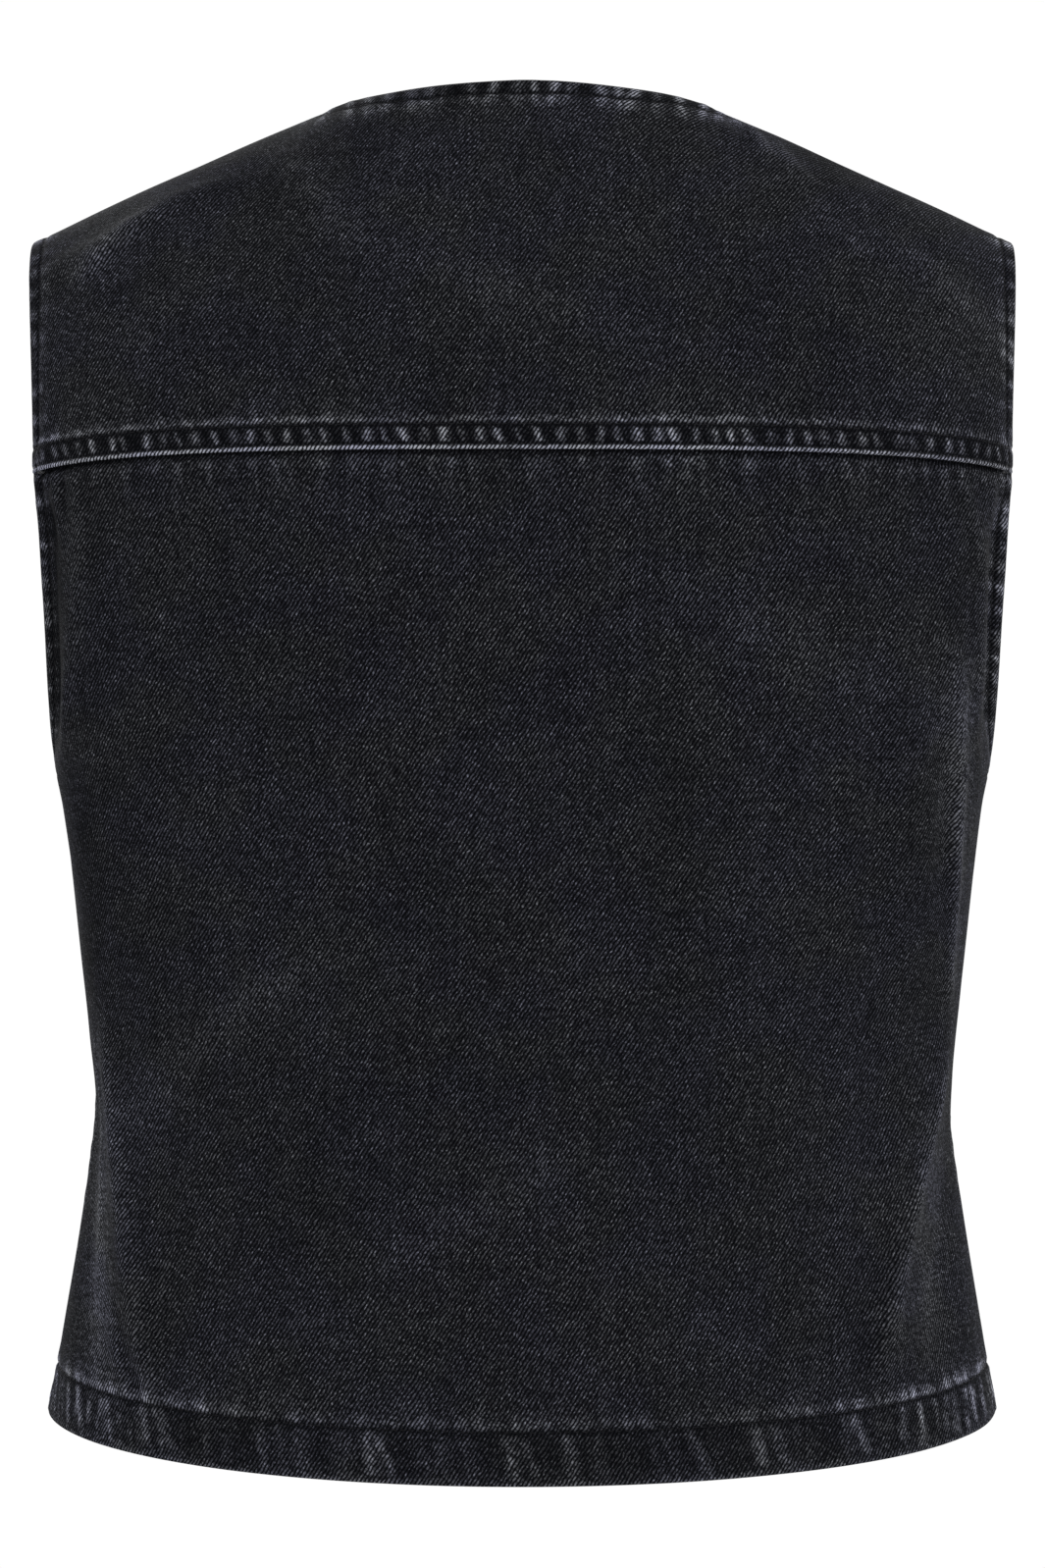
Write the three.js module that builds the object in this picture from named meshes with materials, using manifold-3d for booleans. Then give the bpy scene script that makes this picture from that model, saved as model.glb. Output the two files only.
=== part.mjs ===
// A cropped, sleeveless denim vest that keeps the hollow form it has when it is worn, in millimetres.
// +Z is up, the wearer faces -Y and +X is the wearer's left. Heights are measured up from the hem at the centre back.
// The garment is then lowered as a whole, so that the origin lies midway between the two shoulders that carry it.
import * as THREE from "three";
import { mergeVertices } from "three/addons/utils/BufferGeometryUtils.js";
import Module from "manifold-3d";

// Driving sizes.
const CLOTH = 1.4; // one layer of washed denim, with its nap
const FOLDED = 2.2; // a turned edge, pressed
const SEAM_GAP = 0.3; // between two pieces that are sewn together
const HEM_TURN = 20; // depth of the turned hem
const EDGE_TURN = 8; // depth of the turned neck and armhole edges
const SIDE_LIFT = 10; // how much the hem rises from the centre back to the side seams
const YOKE_SEAM = 392; // height of the yoke's folded edge at the centre back
const YOKE_SIDE = 388; // the same at the armholes, which is also their mid height
const YOKE_LAP = 10.5; // how far the back panel runs up under the yoke
const LAP_SINK = 1.0; // how much the panel is pressed in there
const LAP_CLOTH = 1.1; // one layer, pressed
const YOKE_FOLD = 1.8; // the folded edge of the yoke over it
const UNDERARM = 268;
const SHOULDER_POINT = { x: 200.2, z: 487 };
const NECK_POINT = { x: 80.3, z: 541.4 };
const BACK_NECK = { y: 54, z: 544.2, round: 1.6 };
const ARMHOLE = { back: 53, front: 47, lowerRound: 2.2, upperRound: 2.3 };
const BUTTON_STAND = 13; // how far each front crosses the centre front
const V_POINT = 335; // height where the front edge turns into the neck edge
const UNDER_SINK = 0.9; // how much the left front is pressed in under the right one
const LAP_FADE = [372, 402]; // heights between which the fronts stop lying over each other
const LAP_WIDTH = [14, 42]; // distances from the centre front between which their lap smooths out
const SHOULDER_REST = 515; // height of the origin
const FRONT_HEM = 2; // height of the hem at the centre front
const BUTTON = { count: 5, top: 318, bottom: 38, radius: 8.5, shank: 2.2 };
const BUTTONHOLE = { eyelet: 2.8, slit: 17, slitWidth: 1, depth: 9 };

// The body of the garment, from the hem to the yoke: how deep it is behind and in front of the side seams, and how
// square each half of the section is (2 is an ellipse).
const BODY = [
  { height: 0, back: 114.5, front: 107, backSquare: 1.98, frontSquare: 2.0 },
  { height: 45, back: 108, front: 102, backSquare: 2.0, frontSquare: 2.1 },
  { height: 95, back: 99, front: 96, backSquare: 2.0, frontSquare: 2.1 },
  { height: 137, back: 95, front: 95, backSquare: 2.0, frontSquare: 2.1 },
  { height: 180, back: 98, front: 102, backSquare: 2.05, frontSquare: 2.15 },
  { height: 225, back: 104, front: 113, backSquare: 2.3, frontSquare: 2.2 },
  { height: 268, back: 109, front: 119, backSquare: 2.65, frontSquare: 2.3 },
  { height: 310, back: 112, front: 121, backSquare: 2.9, frontSquare: 2.4 },
  { height: 350, back: 112, front: 119, backSquare: 3.0, frontSquare: 2.5 },
  { height: 392, back: 111, front: 115, backSquare: 2.9, frontSquare: 2.5 },
  { height: 410, back: 111, front: 114, backSquare: 2.9, frontSquare: 2.5 },
];

// Half the width at the side seams, from the hem to the underarm.
const SIDE_SEAM = [
  { height: 0, halfWidth: 196.6 },
  { height: 24, halfWidth: 191.7 },
  { height: 48, halfWidth: 187.4 },
  { height: 80, halfWidth: 182.2 },
  { height: 112, halfWidth: 178.2 },
  { height: 137, halfWidth: 176.2 },
  { height: 161, halfWidth: 177.4 },
  { height: 193, halfWidth: 180.7 },
  { height: 225, halfWidth: 184.0 },
  { height: 256, halfWidth: 187.4 },
  { height: 268, halfWidth: 189.6 },
];

// Half the width across the armhole edges, behind and in front.
const ARMHOLE_EDGE = [
  { height: 268, back: 189.6, front: 189.6 },
  { height: 285, back: 190.0, front: 187.6 },
  { height: 300, back: 190.3, front: 186.5 },
  { height: 330, back: 191.1, front: 184.4 },
  { height: 360, back: 192.6, front: 184.4 },
  { height: 388, back: 194.0, front: 186.0 },
];

// The main folds. A run is measured along the cloth from the centre line, and is negative on the wearer's right. A
// positive depth is a ridge and a negative one a trough. bend moves the middle of the fold sideways.
const BACK_FOLDS = [
  { topRun: 202, topHeight: 384, endRun: 207, endHeight: 276, bend: 0, width: 7, depth: -3.4 },
  { topRun: -199, topHeight: 376, endRun: -206, endHeight: 276, bend: 0, width: 7, depth: -3.0 },
  { topRun: 181, topHeight: 172, endRun: 163, endHeight: 34, bend: 0, width: 14, depth: 3.0 },
  { topRun: 203, topHeight: 150, endRun: 192, endHeight: 34, bend: 0, width: 14, depth: -2.4 },
  { topRun: -195, topHeight: 172, endRun: -146, endHeight: 30, bend: 12, width: 15, depth: 4.0 },
  { topRun: -206, topHeight: 132, endRun: -184, endHeight: 30, bend: 6, width: 16, depth: -2.8 },
  { topRun: -150, topHeight: 335, endRun: -164, endHeight: 205, bend: 0, width: 14, depth: 2.2 },
];
const YOKE_FOLDS = [
  { topRun: 120, topHeight: 506, endRun: 192, endHeight: 468, bend: 0, width: 15, depth: 2.2 },
  { topRun: -86, topHeight: 530, endRun: -116, endHeight: 498, bend: 0, width: 11, depth: 1.8 },
];
const FRONT_FOLDS = [
  { topRun: 192, topHeight: 372, endRun: 200, endHeight: 278, bend: 0, width: 7, depth: -3.0 },
  { topRun: 182, topHeight: 176, endRun: 150, endHeight: 32, bend: -8, width: 15, depth: 3.4 },
  { topRun: 200, topHeight: 140, endRun: 184, endHeight: 34, bend: 0, width: 15, depth: -2.6 },
  { topRun: 92, topHeight: 262, endRun: 70, endHeight: 150, bend: 6, width: 18, depth: 2.2 },
  { topRun: 158, topHeight: 330, endRun: 166, endHeight: 214, bend: 0, width: 13, depth: 2.0 },
];

// How finely the walls are divided.
const BACK_COLUMNS = 40;
const FRONT_COLUMNS = 20;
const STAND_COLUMNS = 2;
const OUTER_COLUMNS = 6; // at each side seam and armhole
const INNER_SHARE = 0.72; // the share of the way to the side plane that the other columns take up
const NECK_COLUMN = 6; // from the centre back, the column that ends on the neck point
const CORNER_REACH = 0.3; // how far from the neck point the yoke rounds off its corner, low down, as a share
const ARC_SAMPLES = 48;
const STEP = 1e-3; // for slopes

const mix = THREE.MathUtils.lerp;
const smooth = THREE.MathUtils.smoothstep;

// A smooth curve through one column of a table, read at a height.
function read(table, key, height) {
  const last = table.length - 1;
  const h = THREE.MathUtils.clamp(height, table[0].height, table[last].height);
  let i = 0;
  while (i < last - 1 && table[i + 1].height < h) i++;
  const slope = (a, b) => (table[b][key] - table[a][key]) / (table[b].height - table[a].height);
  const span = table[i + 1].height - table[i].height;
  const t = (h - table[i].height) / span;
  const before = slope(Math.max(i - 1, 0), i + 1) * span;
  const after = slope(i, Math.min(i + 2, last)) * span;
  const rise = table[i + 1][key] - table[i][key];
  const bend = t * t * (3 - 2 * t);
  return table[i][key] + rise * bend + t * (1 - t) * ((1 - t) * before - t * after);
}

// The point where a row ends: on the side seam below the underarm, and on the armhole edge above it.
function edgePoint(side, height) {
  if (height <= UNDERARM) return { x: read(SIDE_SEAM, "halfWidth", height), y: 0 };
  const reach = side === "back" ? ARMHOLE.back : ARMHOLE.front;
  const drop = (YOKE_SIDE - height) / (YOKE_SIDE - UNDERARM);
  const y = reach * Math.pow(1 - Math.pow(Math.max(drop, 0), ARMHOLE.lowerRound), 1 / ARMHOLE.lowerRound);
  return { x: read(ARMHOLE_EDGE, side, height), y };
}

// Half of the section at one row, from the centre out to its edge, as points with the length run so far. whole is the
// length that the half would have if it ran on to the side plane.
function sectionArc(side, up) {
  const centreHeight = side === "back" ? up * YOKE_SEAM : mix(FRONT_HEM, YOKE_SIDE, up);
  const edgeHeight = mix(SIDE_LIFT, YOKE_SIDE, up);
  const depth = read(BODY, side, centreHeight);
  const square = read(BODY, side + "Square", centreHeight);
  const edge = edgePoint(side, edgeHeight);
  const fullWidth = edge.x / Math.pow(1 - Math.pow(edge.y / depth, square), 1 / square);
  const endAngle = Math.asin(Math.min(1, Math.pow(edge.x / fullWidth, square / 2)));
  const pointAt = (angle) => {
    const x = fullWidth * Math.pow(Math.sin(angle), 2 / square);
    const y = depth * Math.pow(Math.max(0, Math.cos(angle)), 2 / square);
    return { x, y, z: mix(edgeHeight, centreHeight, (y - edge.y) / (depth - edge.y)) };
  };
  const points = [];
  let run = 0;
  for (let i = 0; i <= ARC_SAMPLES; i++) {
    const point = pointAt((endAngle * i) / ARC_SAMPLES);
    if (i === ARC_SAMPLES) point.y = edge.y;
    if (i) run += Math.hypot(point.x - points[i - 1].x, point.y - points[i - 1].y);
    points.push({ ...point, run });
  }
  points.whole = run;
  for (let i = 0; i < ARC_SAMPLES; i++) {
    const [a, b] = [i, i + 1].map((k) => pointAt(mix(endAngle, Math.PI / 2, k / ARC_SAMPLES)));
    points.whole += Math.hypot(b.x - a.x, b.y - a.y);
  }
  return points;
}

const arcs = new Map();
function arcOf(side, up) {
  const name = side + up;
  if (!arcs.has(name)) arcs.set(name, sectionArc(side, up));
  return arcs.get(name);
}

// A point at a length along half a section. A negative length lies as far beyond the centre.
function alongArc(points, length) {
  const run = Math.min(Math.abs(length), points[points.length - 1].run);
  let i = 1;
  while (i < points.length - 1 && points[i].run < run) i++;
  const [a, b] = [points[i - 1], points[i]];
  const t = (run - a.run) / (b.run - a.run);
  return new THREE.Vector3(Math.sign(length) * mix(a.x, b.x, t), mix(a.y, b.y, t), mix(a.z, b.z, t));
}

// A column above the chest: it leaves its foot upright and leans over to its top on the shoulder or the neck edge.
function leanOver(foot, top, turn, lean, rise, spread) {
  const angle = (turn * Math.PI) / 2;
  const climbed = Math.pow(Math.sin(angle), 2 / rise);
  const left = Math.pow(Math.max(0, Math.cos(angle)), 2 / lean);
  return new THREE.Vector3(
    mix(foot.x, top.x, Math.pow(climbed, spread)),
    mix(top.y, foot.y, left),
    mix(foot.z, top.z, climbed),
  );
}


// The yoke's upper edge: the neck curve, then the straight shoulder seam.
function yokeTop(across) {
  const a = Math.abs(across);
  const side = Math.sign(across) || 1;
  if (a >= NECK_SHARE) {
    const share = (a - NECK_SHARE) / (1 - NECK_SHARE);
    return new THREE.Vector3(
      side * mix(NECK_POINT.x, SHOULDER_POINT.x, share),
      0,
      mix(NECK_POINT.z, SHOULDER_POINT.z, share),
    );
  }
  const share = a / NECK_SHARE;
  const back = BACK_NECK.y * Math.pow(1 - Math.pow(share, BACK_NECK.round), 1 / BACK_NECK.round);
  return new THREE.Vector3(side * NECK_POINT.x * share, back, mix(BACK_NECK.z, NECK_POINT.z, share * share));
}

// The edge that a row of the yoke leans towards. Its corner at the neck point is rounded off over a reach.
function softTop(across, reach) {
  const top = new THREE.Vector3();
  for (const step of [-1, -0.6, -0.2, 0.2, 0.6, 1]) top.add(yokeTop(across + step * reach));
  return top.divideScalar(6);
}

// The back of the garment. across runs from -1 to 1, and up from 0 at the hem through 1 at the yoke seam to 2 on top.
function backPoint(across, up) {
  const below = arcOf("back", Math.min(up, 1));
  const foot = alongArc(below, across * below[below.length - 1].run);
  if (up > 1) {
    const a = Math.abs(across);
    const outer = smooth(a, NECK_SHARE, 1);
    const lean = mix(mix(1.0, 1.7, smooth(a, 0, 0.5)), ARMHOLE.upperRound, outer);
    const top = softTop(across, CORNER_REACH * (2 - up) * Math.min(1, 2 * (1 - a)));
    foot.copy(leanOver(foot, top, up - 1, lean, mix(1.8, ARMHOLE.upperRound, outer), mix(1.3, 1.9, outer)));
  }
  foot.y += SEAM_GAP / 2;
  return foot;
}

// Where a front begins, as a length from the centre front: on its button stand, then on the neck edge.
function frontEdge(height) {
  const climbed = (height - V_POINT) / (NECK_POINT.z - V_POINT);
  return -BUTTON_STAND + (NECK_POINT.x + BUTTON_STAND) * Math.max(0, climbed);
}

// The wearer's left front. across runs from 0 at the front edge to 1 at the side seam or armhole.
function frontPoint(across, up) {
  const row = Math.min(up, 1);
  const below = arcOf("front", row);
  const start = frontEdge(mix(FRONT_HEM, YOKE_SIDE, row));
  const foot = alongArc(below, mix(start, below[below.length - 1].run, across));
  if (up > 1) {
    const top = {
      x: mix(NECK_POINT.x, SHOULDER_POINT.x, across),
      y: 0,
      z: mix(NECK_POINT.z, SHOULDER_POINT.z, across),
    };
    const round = mix(1.55, ARMHOLE.upperRound, smooth(across, 0, 1));
    foot.copy(leanOver(foot, top, up - 1, round, round, mix(1, 1.3, across)));
  }
  foot.y = -foot.y - SEAM_GAP / 2;
  return foot;
}

function frontNormal(across, run, up) {
  if (up > 1) return topNormal(frontPoint, across, up).negate();
  const normal = bodyNormal("front", run, up);
  return normal.setY(-normal.y);
}

// How far the folds push the cloth out at a place.
function foldLift(folds, run, height) {
  let lift = 0;
  for (const fold of folds) {
    const along = (fold.topHeight - height) / (fold.topHeight - fold.endHeight);
    const middle = mix(fold.topRun, fold.endRun, along) + 4 * fold.bend * along * (1 - along);
    const fade = smooth(along, -0.12, 0.25) * (1 - smooth(along, 0.78, 1.12));
    lift += fold.depth * fade * Math.exp(-(((run - middle) / fold.width) ** 2));
  }
  return lift;
}

// The outward normal of half a section at a run, for a back. A front has it mirrored in y.
function bodyNormal(side, run, up) {
  const [below, here, above] = [up - STEP, up, up + STEP].map((row) => arcOf(side, THREE.MathUtils.clamp(row, 0, 1)));
  const reach = Math.min(...[below, here, above].map((points) => points.at(-1).run)) - 1;
  const at = THREE.MathUtils.clamp(run, -reach, reach);
  const right = alongArc(here, at + 0.5).sub(alongArc(here, at - 0.5));
  const rise = alongArc(above, at).sub(alongArc(below, at));
  return rise.cross(right).normalize();
}

// The same above the chest, where surface(across, up) gives the points.
function topNormal(surface, across, up) {
  const a = THREE.MathUtils.clamp(across, STEP - 1, 1 - STEP);
  const u = Math.min(up, 2 - STEP);
  const right = surface(a + STEP, u).sub(surface(a - STEP, u));
  const rise = surface(a, u + STEP).sub(surface(a, u - STEP));
  return rise.cross(right).normalize();
}

// A sewn edge keeps its normal in the seam's plane, so that two pieces stay apart through their thickness.
const inSeamPlane = (normal) => normal.setY(0).normalize();

// A closed wall over a grid of places. layer(i, j) gives the outer and the inner point of each place.
function wall(columns, rows, layer, flip) {
  const places = [];
  for (const face of ["outer", "inner"])
    for (let j = 0; j <= rows; j++)
      for (let i = 0; i <= columns; i++) places.push(...layer(i, j)[face].toArray());
  const outer = (i, j) => j * (columns + 1) + i;
  const inner = (i, j) => (rows + 1) * (columns + 1) + outer(i, j);
  const index = [];
  const quad = (a, b, c, d) => index.push(...(flip ? [a, c, b, a, d, c] : [a, b, c, a, c, d]));
  for (let j = 0; j < rows; j++) {
    for (let i = 0; i < columns; i++) {
      quad(outer(i, j), outer(i + 1, j), outer(i + 1, j + 1), outer(i, j + 1));
      quad(inner(i, j), inner(i, j + 1), inner(i + 1, j + 1), inner(i + 1, j));
    }
    quad(outer(0, j), outer(0, j + 1), inner(0, j + 1), inner(0, j));
    quad(outer(columns, j), inner(columns, j), inner(columns, j + 1), outer(columns, j + 1));
  }
  for (let i = 0; i < columns; i++) {
    quad(outer(i, 0), inner(i, 0), inner(i + 1, 0), outer(i + 1, 0));
    quad(outer(i, rows), outer(i + 1, rows), inner(i + 1, rows), inner(i, rows));
  }
  const geometry = new THREE.BufferGeometry();
  geometry.setAttribute("position", new THREE.Float32BufferAttribute(places, 3));
  geometry.setIndex(index);
  geometry.computeVertexNormals();
  return geometry;
}

// One place of a wall: the outer face lifted off the garment's surface, and the inner face a thickness below it.
function place(point, normal, lift, thickness) {
  return {
    outer: point.clone().addScaledVector(normal, lift),
    inner: point.clone().addScaledVector(normal, lift - thickness),
  };
}

// Rows are closer where the shape turns: at the hem's turn, at the underarm and over the shoulder.
const underarmRow = (UNDERARM - SIDE_LIFT) / (YOKE_SIDE - SIDE_LIFT);
const rowsBetween = (from, to, count) => Array.from({ length: count }, (_, i) => mix(from, to, i / count));
const hemRow = HEM_TURN / YOKE_SEAM;
const BODY_ROWS = [
  0,
  hemRow - 0.002,
  ...rowsBetween(hemRow + 0.002, underarmRow, 11),
  underarmRow,
  underarmRow + 0.012,
  underarmRow + 0.035,
  underarmRow + 0.075,
  ...rowsBetween(underarmRow + 0.13, 1, 4),
];
const lapRow = 1 + YOKE_LAP / (2 * (NECK_POINT.z - YOKE_SEAM)) + 0.008;
const TONGUE_ROWS = [0.99, 1, lapRow];
const YOKE_ROWS = [1, lapRow + 0.02, lapRow + 0.09, 1.25, 1.37, 1.5, 1.64, 1.78, 1.9, 2];
const SHOULDER_ROWS = [1, 1.08, 1.18, 1.3, 1.42, 1.55, 1.68, 1.8, 1.91, 2];

// Where column i of n lies between the centre or the front edge, at start, and the side: the inner columns are spread
// over a share of the whole half, and the outer ones over what is left up to the seam or armhole.
function columnRun(i, n, start, points) {
  const inner = n - OUTER_COLUMNS;
  const middle = INNER_SHARE * points.whole;
  return i <= inner ? mix(start, middle, i / inner) : mix(middle, points.at(-1).run, (i - inner) / OUTER_COLUMNS);
}

function backColumn(i, points) {
  const half = BACK_COLUMNS / 2;
  return Math.sign(i - half) * columnRun(Math.abs(i - half), half, 0, points);
}

// The share of the yoke's half width that ends on the neck edge.
const NECK_SHARE = columnRun(NECK_COLUMN, BACK_COLUMNS / 2, 0, arcOf("back", 1)) / arcOf("back", 1).at(-1).run;

function frontColumn(i, start, points) {
  if (i <= STAND_COLUMNS) return start + BUTTON_STAND * i;
  const left = FRONT_COLUMNS - STAND_COLUMNS;
  return columnRun(i - STAND_COLUMNS, left, start + BUTTON_STAND * STAND_COLUMNS, points);
}

function turnedEdge(distance) {
  return mix(FOLDED, CLOTH, smooth(distance, EDGE_TURN - 1, EDGE_TURN + 1));
}

function backPanel() {
  const rows = [...BODY_ROWS, ...TONGUE_ROWS];
  const layer = (i, j) => {
    const up = rows[j];
    const points = arcOf("back", Math.min(up, 1));
    const reach = points.at(-1).run;
    const run = backColumn(i, points);
    const across = run / reach;
    const point = backPoint(across, up);
    const aboveUnderarm = up > underarmRow;
    const sideSeam = Math.abs(across) === 1 && !aboveUnderarm;
    const normal = up > 1 ? topNormal(backPoint, across, up) : bodyNormal("back", run, up);
    if (sideSeam) inSeamPlane(normal);
    const edge = aboveUnderarm ? turnedEdge((1 - Math.abs(across)) * reach) : CLOTH;
    const thickness = up < hemRow ? FOLDED : edge;
    if (up >= 1) return place(point, normal, -LAP_SINK, LAP_CLOTH);
    return place(point, normal, foldLift(BACK_FOLDS, run, point.z), thickness);
  };
  return wall(BACK_COLUMNS, rows.length - 1, layer, true);
}

// The yoke's folded lower edge lies on the back panel. Above the lap the yoke sinks back to the garment's surface.
function backYoke() {
  const layer = (i, j) => {
    const up = YOKE_ROWS[j];
    const points = arcOf("back", 1);
    const reach = points.at(-1).run;
    const run = backColumn(i, points);
    const across = run / reach;
    const point = backPoint(across, up);
    const shoulderSeam = up === 2 && Math.abs(across) >= NECK_SHARE;
    const normal = up > 1 ? topNormal(backPoint, across, up) : bodyNormal("back", run, up);
    if (shoulderSeam) inSeamPlane(normal);
    const lapped = j <= 1;
    const edge = Math.min((1 - Math.abs(across)) * reach, up > 1.99 && !shoulderSeam ? 0 : EDGE_TURN * 2);
    const thickness = lapped ? YOKE_FOLD : turnedEdge(edge);
    const lift = lapped ? SEAM_GAP + thickness - LAP_SINK : 0;
    return place(point, normal, lift + foldLift(YOKE_FOLDS, run, point.z), thickness);
  };
  return wall(BACK_COLUMNS, YOKE_ROWS.length - 1, layer, true);
}

const OVER_LIFT = FOLDED + SEAM_GAP - UNDER_SINK; // the outer face of the right front, over the garment's surface

// side is 1 for the wearer's left front, which lies under, and -1 for the right one, which laps over it.
function frontPanel(side) {
  const rows = [...BODY_ROWS, ...SHOULDER_ROWS];
  const lapLift = side > 0 ? -UNDER_SINK : OVER_LIFT;
  const layer = (i, j) => {
    const up = rows[j];
    const row = Math.min(up, 1);
    const points = arcOf("front", row);
    const reach = points.at(-1).run;
    const start = frontEdge(mix(FRONT_HEM, YOKE_SIDE, row));
    const run = frontColumn(i, start, points);
    const across = (run - start) / (reach - start);
    const point = frontPoint(across, up);
    const sewn = (across === 1 && up <= underarmRow) || up === 2;
    const normal = frontNormal(across, run, up);
    if (sewn) inSeamPlane(normal);
    const fromCentre = Math.abs(point.x);
    const lapped = (1 - smooth(fromCentre, ...LAP_WIDTH)) * (1 - smooth(point.z, ...LAP_FADE));
    const edge = Math.min(up > underarmRow ? (1 - across) * reach : EDGE_TURN * 2, across * (reach - start) * 0.6);
    const plain = up < hemRow ? FOLDED : turnedEdge(edge);
    const thickness = mix(plain, FOLDED, lapped);
    const lift = lapLift * lapped + foldLift(FRONT_FOLDS, run, point.z);
    const { outer, inner } = place(point, normal, lift, thickness);
    outer.x *= side;
    inner.x *= side;
    return { outer, inner };
  };
  return wall(FRONT_COLUMNS, rows.length - 1, layer, side < 0);
}

// Buttons stand on the centre front, square to the cloth. The frame of a button has +Y pointing out of the cloth.
function buttonFrame(number) {
  const height = mix(BUTTON.top, BUTTON.bottom, number / (BUTTON.count - 1));
  const up = (height - FRONT_HEM) / (YOKE_SIDE - FRONT_HEM);
  const arc = arcOf("front", up);
  const start = frontEdge(height);
  const centre = -start / (arc.at(-1).run - start);
  const point = frontPoint(centre, up).setX(0);
  const normal = frontNormal(centre, 0, up).setX(0).normalize();
  return { point, turn: new THREE.Quaternion().setFromUnitVectors(new THREE.Vector3(0, 1, 0), normal) };
}

function buttonGeometry() {
  const foot = SEAM_GAP - UNDER_SINK; // just off the left front
  const seat = OVER_LIFT + SEAM_GAP;
  const profile = [
    [0, foot],
    [BUTTON.shank, foot],
    [BUTTON.shank, seat],
    [BUTTON.radius - 0.7, seat],
    [BUTTON.radius, seat + 0.7],
    [BUTTON.radius, seat + 1.5],
    [BUTTON.radius - 0.8, seat + 2.3],
    [BUTTON.radius - 2.4, seat + 2.0],
    [0, seat + 2.7],
  ];
  const geometry = new THREE.LatheGeometry(profile.map(([r, h]) => new THREE.Vector2(r, h)), 20);
  geometry.deleteAttribute("uv");
  geometry.deleteAttribute("normal");
  return mergeVertices(geometry, 1e-4);
}

// A keyhole buttonhole: an eyelet for the shank and a slit that runs away from the front edge.
function buttonholeCutter({ point, turn }) {
  const shape = new THREE.Shape();
  const { eyelet, slit, slitWidth, depth } = BUTTONHOLE;
  const meet = Math.asin(slitWidth / 2 / eyelet);
  shape.absarc(0, 0, eyelet, -Math.PI + meet, Math.PI - meet, false);
  shape.lineTo(-slit, slitWidth / 2);
  shape.lineTo(-slit, -slitWidth / 2);
  shape.closePath();
  const geometry = new THREE.ExtrudeGeometry(shape, { depth, bevelEnabled: false, curveSegments: 7 });
  geometry.translate(0, 0, -depth / 2);
  geometry.rotateX(-Math.PI / 2);
  geometry.applyQuaternion(turn);
  geometry.translate(point.x, point.y, point.z);
  return geometry;
}

// Cuts one geometry by others.
async function cut(geometry, cutters) {
  const wasm = await Module();
  wasm.setup();
  const solid = (source) => {
    const plain = source.index ? source.toNonIndexed() : source.clone();
    plain.deleteAttribute("uv");
    plain.deleteAttribute("normal");
    const merged = mergeVertices(plain, 1e-4);
    return new wasm.Manifold(
      new wasm.Mesh({
        numProp: 3,
        vertProperties: merged.attributes.position.array,
        triVerts: new Uint32Array(merged.index.array),
      }),
    );
  };
  const left = cutters.reduce((kept, cutter) => kept.subtract(solid(cutter)), solid(geometry)).getMesh();
  const made = new THREE.BufferGeometry();
  made.setAttribute("position", new THREE.BufferAttribute(left.vertProperties, 3));
  made.setIndex(new THREE.BufferAttribute(left.triVerts, 1));
  made.computeVertexNormals();
  return made;
}

const denim = () => new THREE.MeshStandardMaterial({ color: 0x25262b, roughness: 0.92, metalness: 0 });
const tackMetal = () => new THREE.MeshStandardMaterial({ color: 0x4a4b4e, roughness: 0.42, metalness: 0.9 });

function piece(name, geometry, material) {
  const mesh = new THREE.Mesh(geometry, material);
  mesh.name = name;
  return mesh;
}

const vest = new THREE.Group();
const garment = new THREE.Group();
garment.position.z = -SHOULDER_REST;
vest.add(garment);

const frames = Array.from({ length: BUTTON.count }, (_, number) => buttonFrame(number));
garment.add(piece("back_panel", backPanel(), denim()));
garment.add(piece("back_yoke", backYoke(), denim()));
garment.add(piece("front_left", frontPanel(1), denim()));
garment.add(piece("front_right", await cut(frontPanel(-1), frames.map(buttonholeCutter)), denim()));
frames.forEach(({ point, turn }, number) => {
  const button = piece(`button_${number + 1}`, buttonGeometry(), tackMetal());
  button.position.copy(point);
  button.quaternion.copy(turn);
  garment.add(button);
});

export default vest;
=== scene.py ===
"""A sleeveless vest of washed black denim that keeps the hollow form it has when it is worn.

Sizes are in millimetres, and heights are measured up from the hem at the centre back. A mesh is turned to
metres when it is placed, with the origin between the two shoulders. +X is the wearer's left and +Y is the
back.
"""
import itertools
import math

import bmesh
import bpy
import numpy as np
from mathutils import Matrix, Vector, noise


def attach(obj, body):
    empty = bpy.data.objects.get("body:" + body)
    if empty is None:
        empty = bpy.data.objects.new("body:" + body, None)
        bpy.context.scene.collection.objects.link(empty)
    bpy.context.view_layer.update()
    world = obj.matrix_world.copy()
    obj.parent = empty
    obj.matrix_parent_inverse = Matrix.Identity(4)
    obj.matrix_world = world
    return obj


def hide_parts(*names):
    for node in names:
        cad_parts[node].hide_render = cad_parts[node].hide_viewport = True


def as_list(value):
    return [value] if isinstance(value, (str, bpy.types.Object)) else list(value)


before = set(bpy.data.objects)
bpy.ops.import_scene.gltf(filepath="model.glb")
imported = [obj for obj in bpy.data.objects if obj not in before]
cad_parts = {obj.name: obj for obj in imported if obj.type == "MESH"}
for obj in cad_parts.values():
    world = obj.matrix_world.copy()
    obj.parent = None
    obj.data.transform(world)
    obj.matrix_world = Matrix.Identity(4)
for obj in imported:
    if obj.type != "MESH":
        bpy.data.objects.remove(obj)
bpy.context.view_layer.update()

# The garment, as the frame has it.
MM = 0.001
REST_HEIGHT = 515
SEAM_GAP = 0.3
HEM_TURN = 20
SIDE_LIFT = 10
YOKE_SEAM = 392
YOKE_SIDE = 388
UNDERARM = 268
SHOULDER_POINT = (200.2, 487)
NECK_POINT = (80.3, 541.4)
BACK_NECK = {"y": 54, "z": 544.2, "round": 1.6}
ARMHOLE = {"back": 53, "front": 47, "lower_round": 2.2, "upper_round": 2.3}
BUTTON_STAND = 13
V_POINT = 335
UNDER_SINK = 0.9
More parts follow.
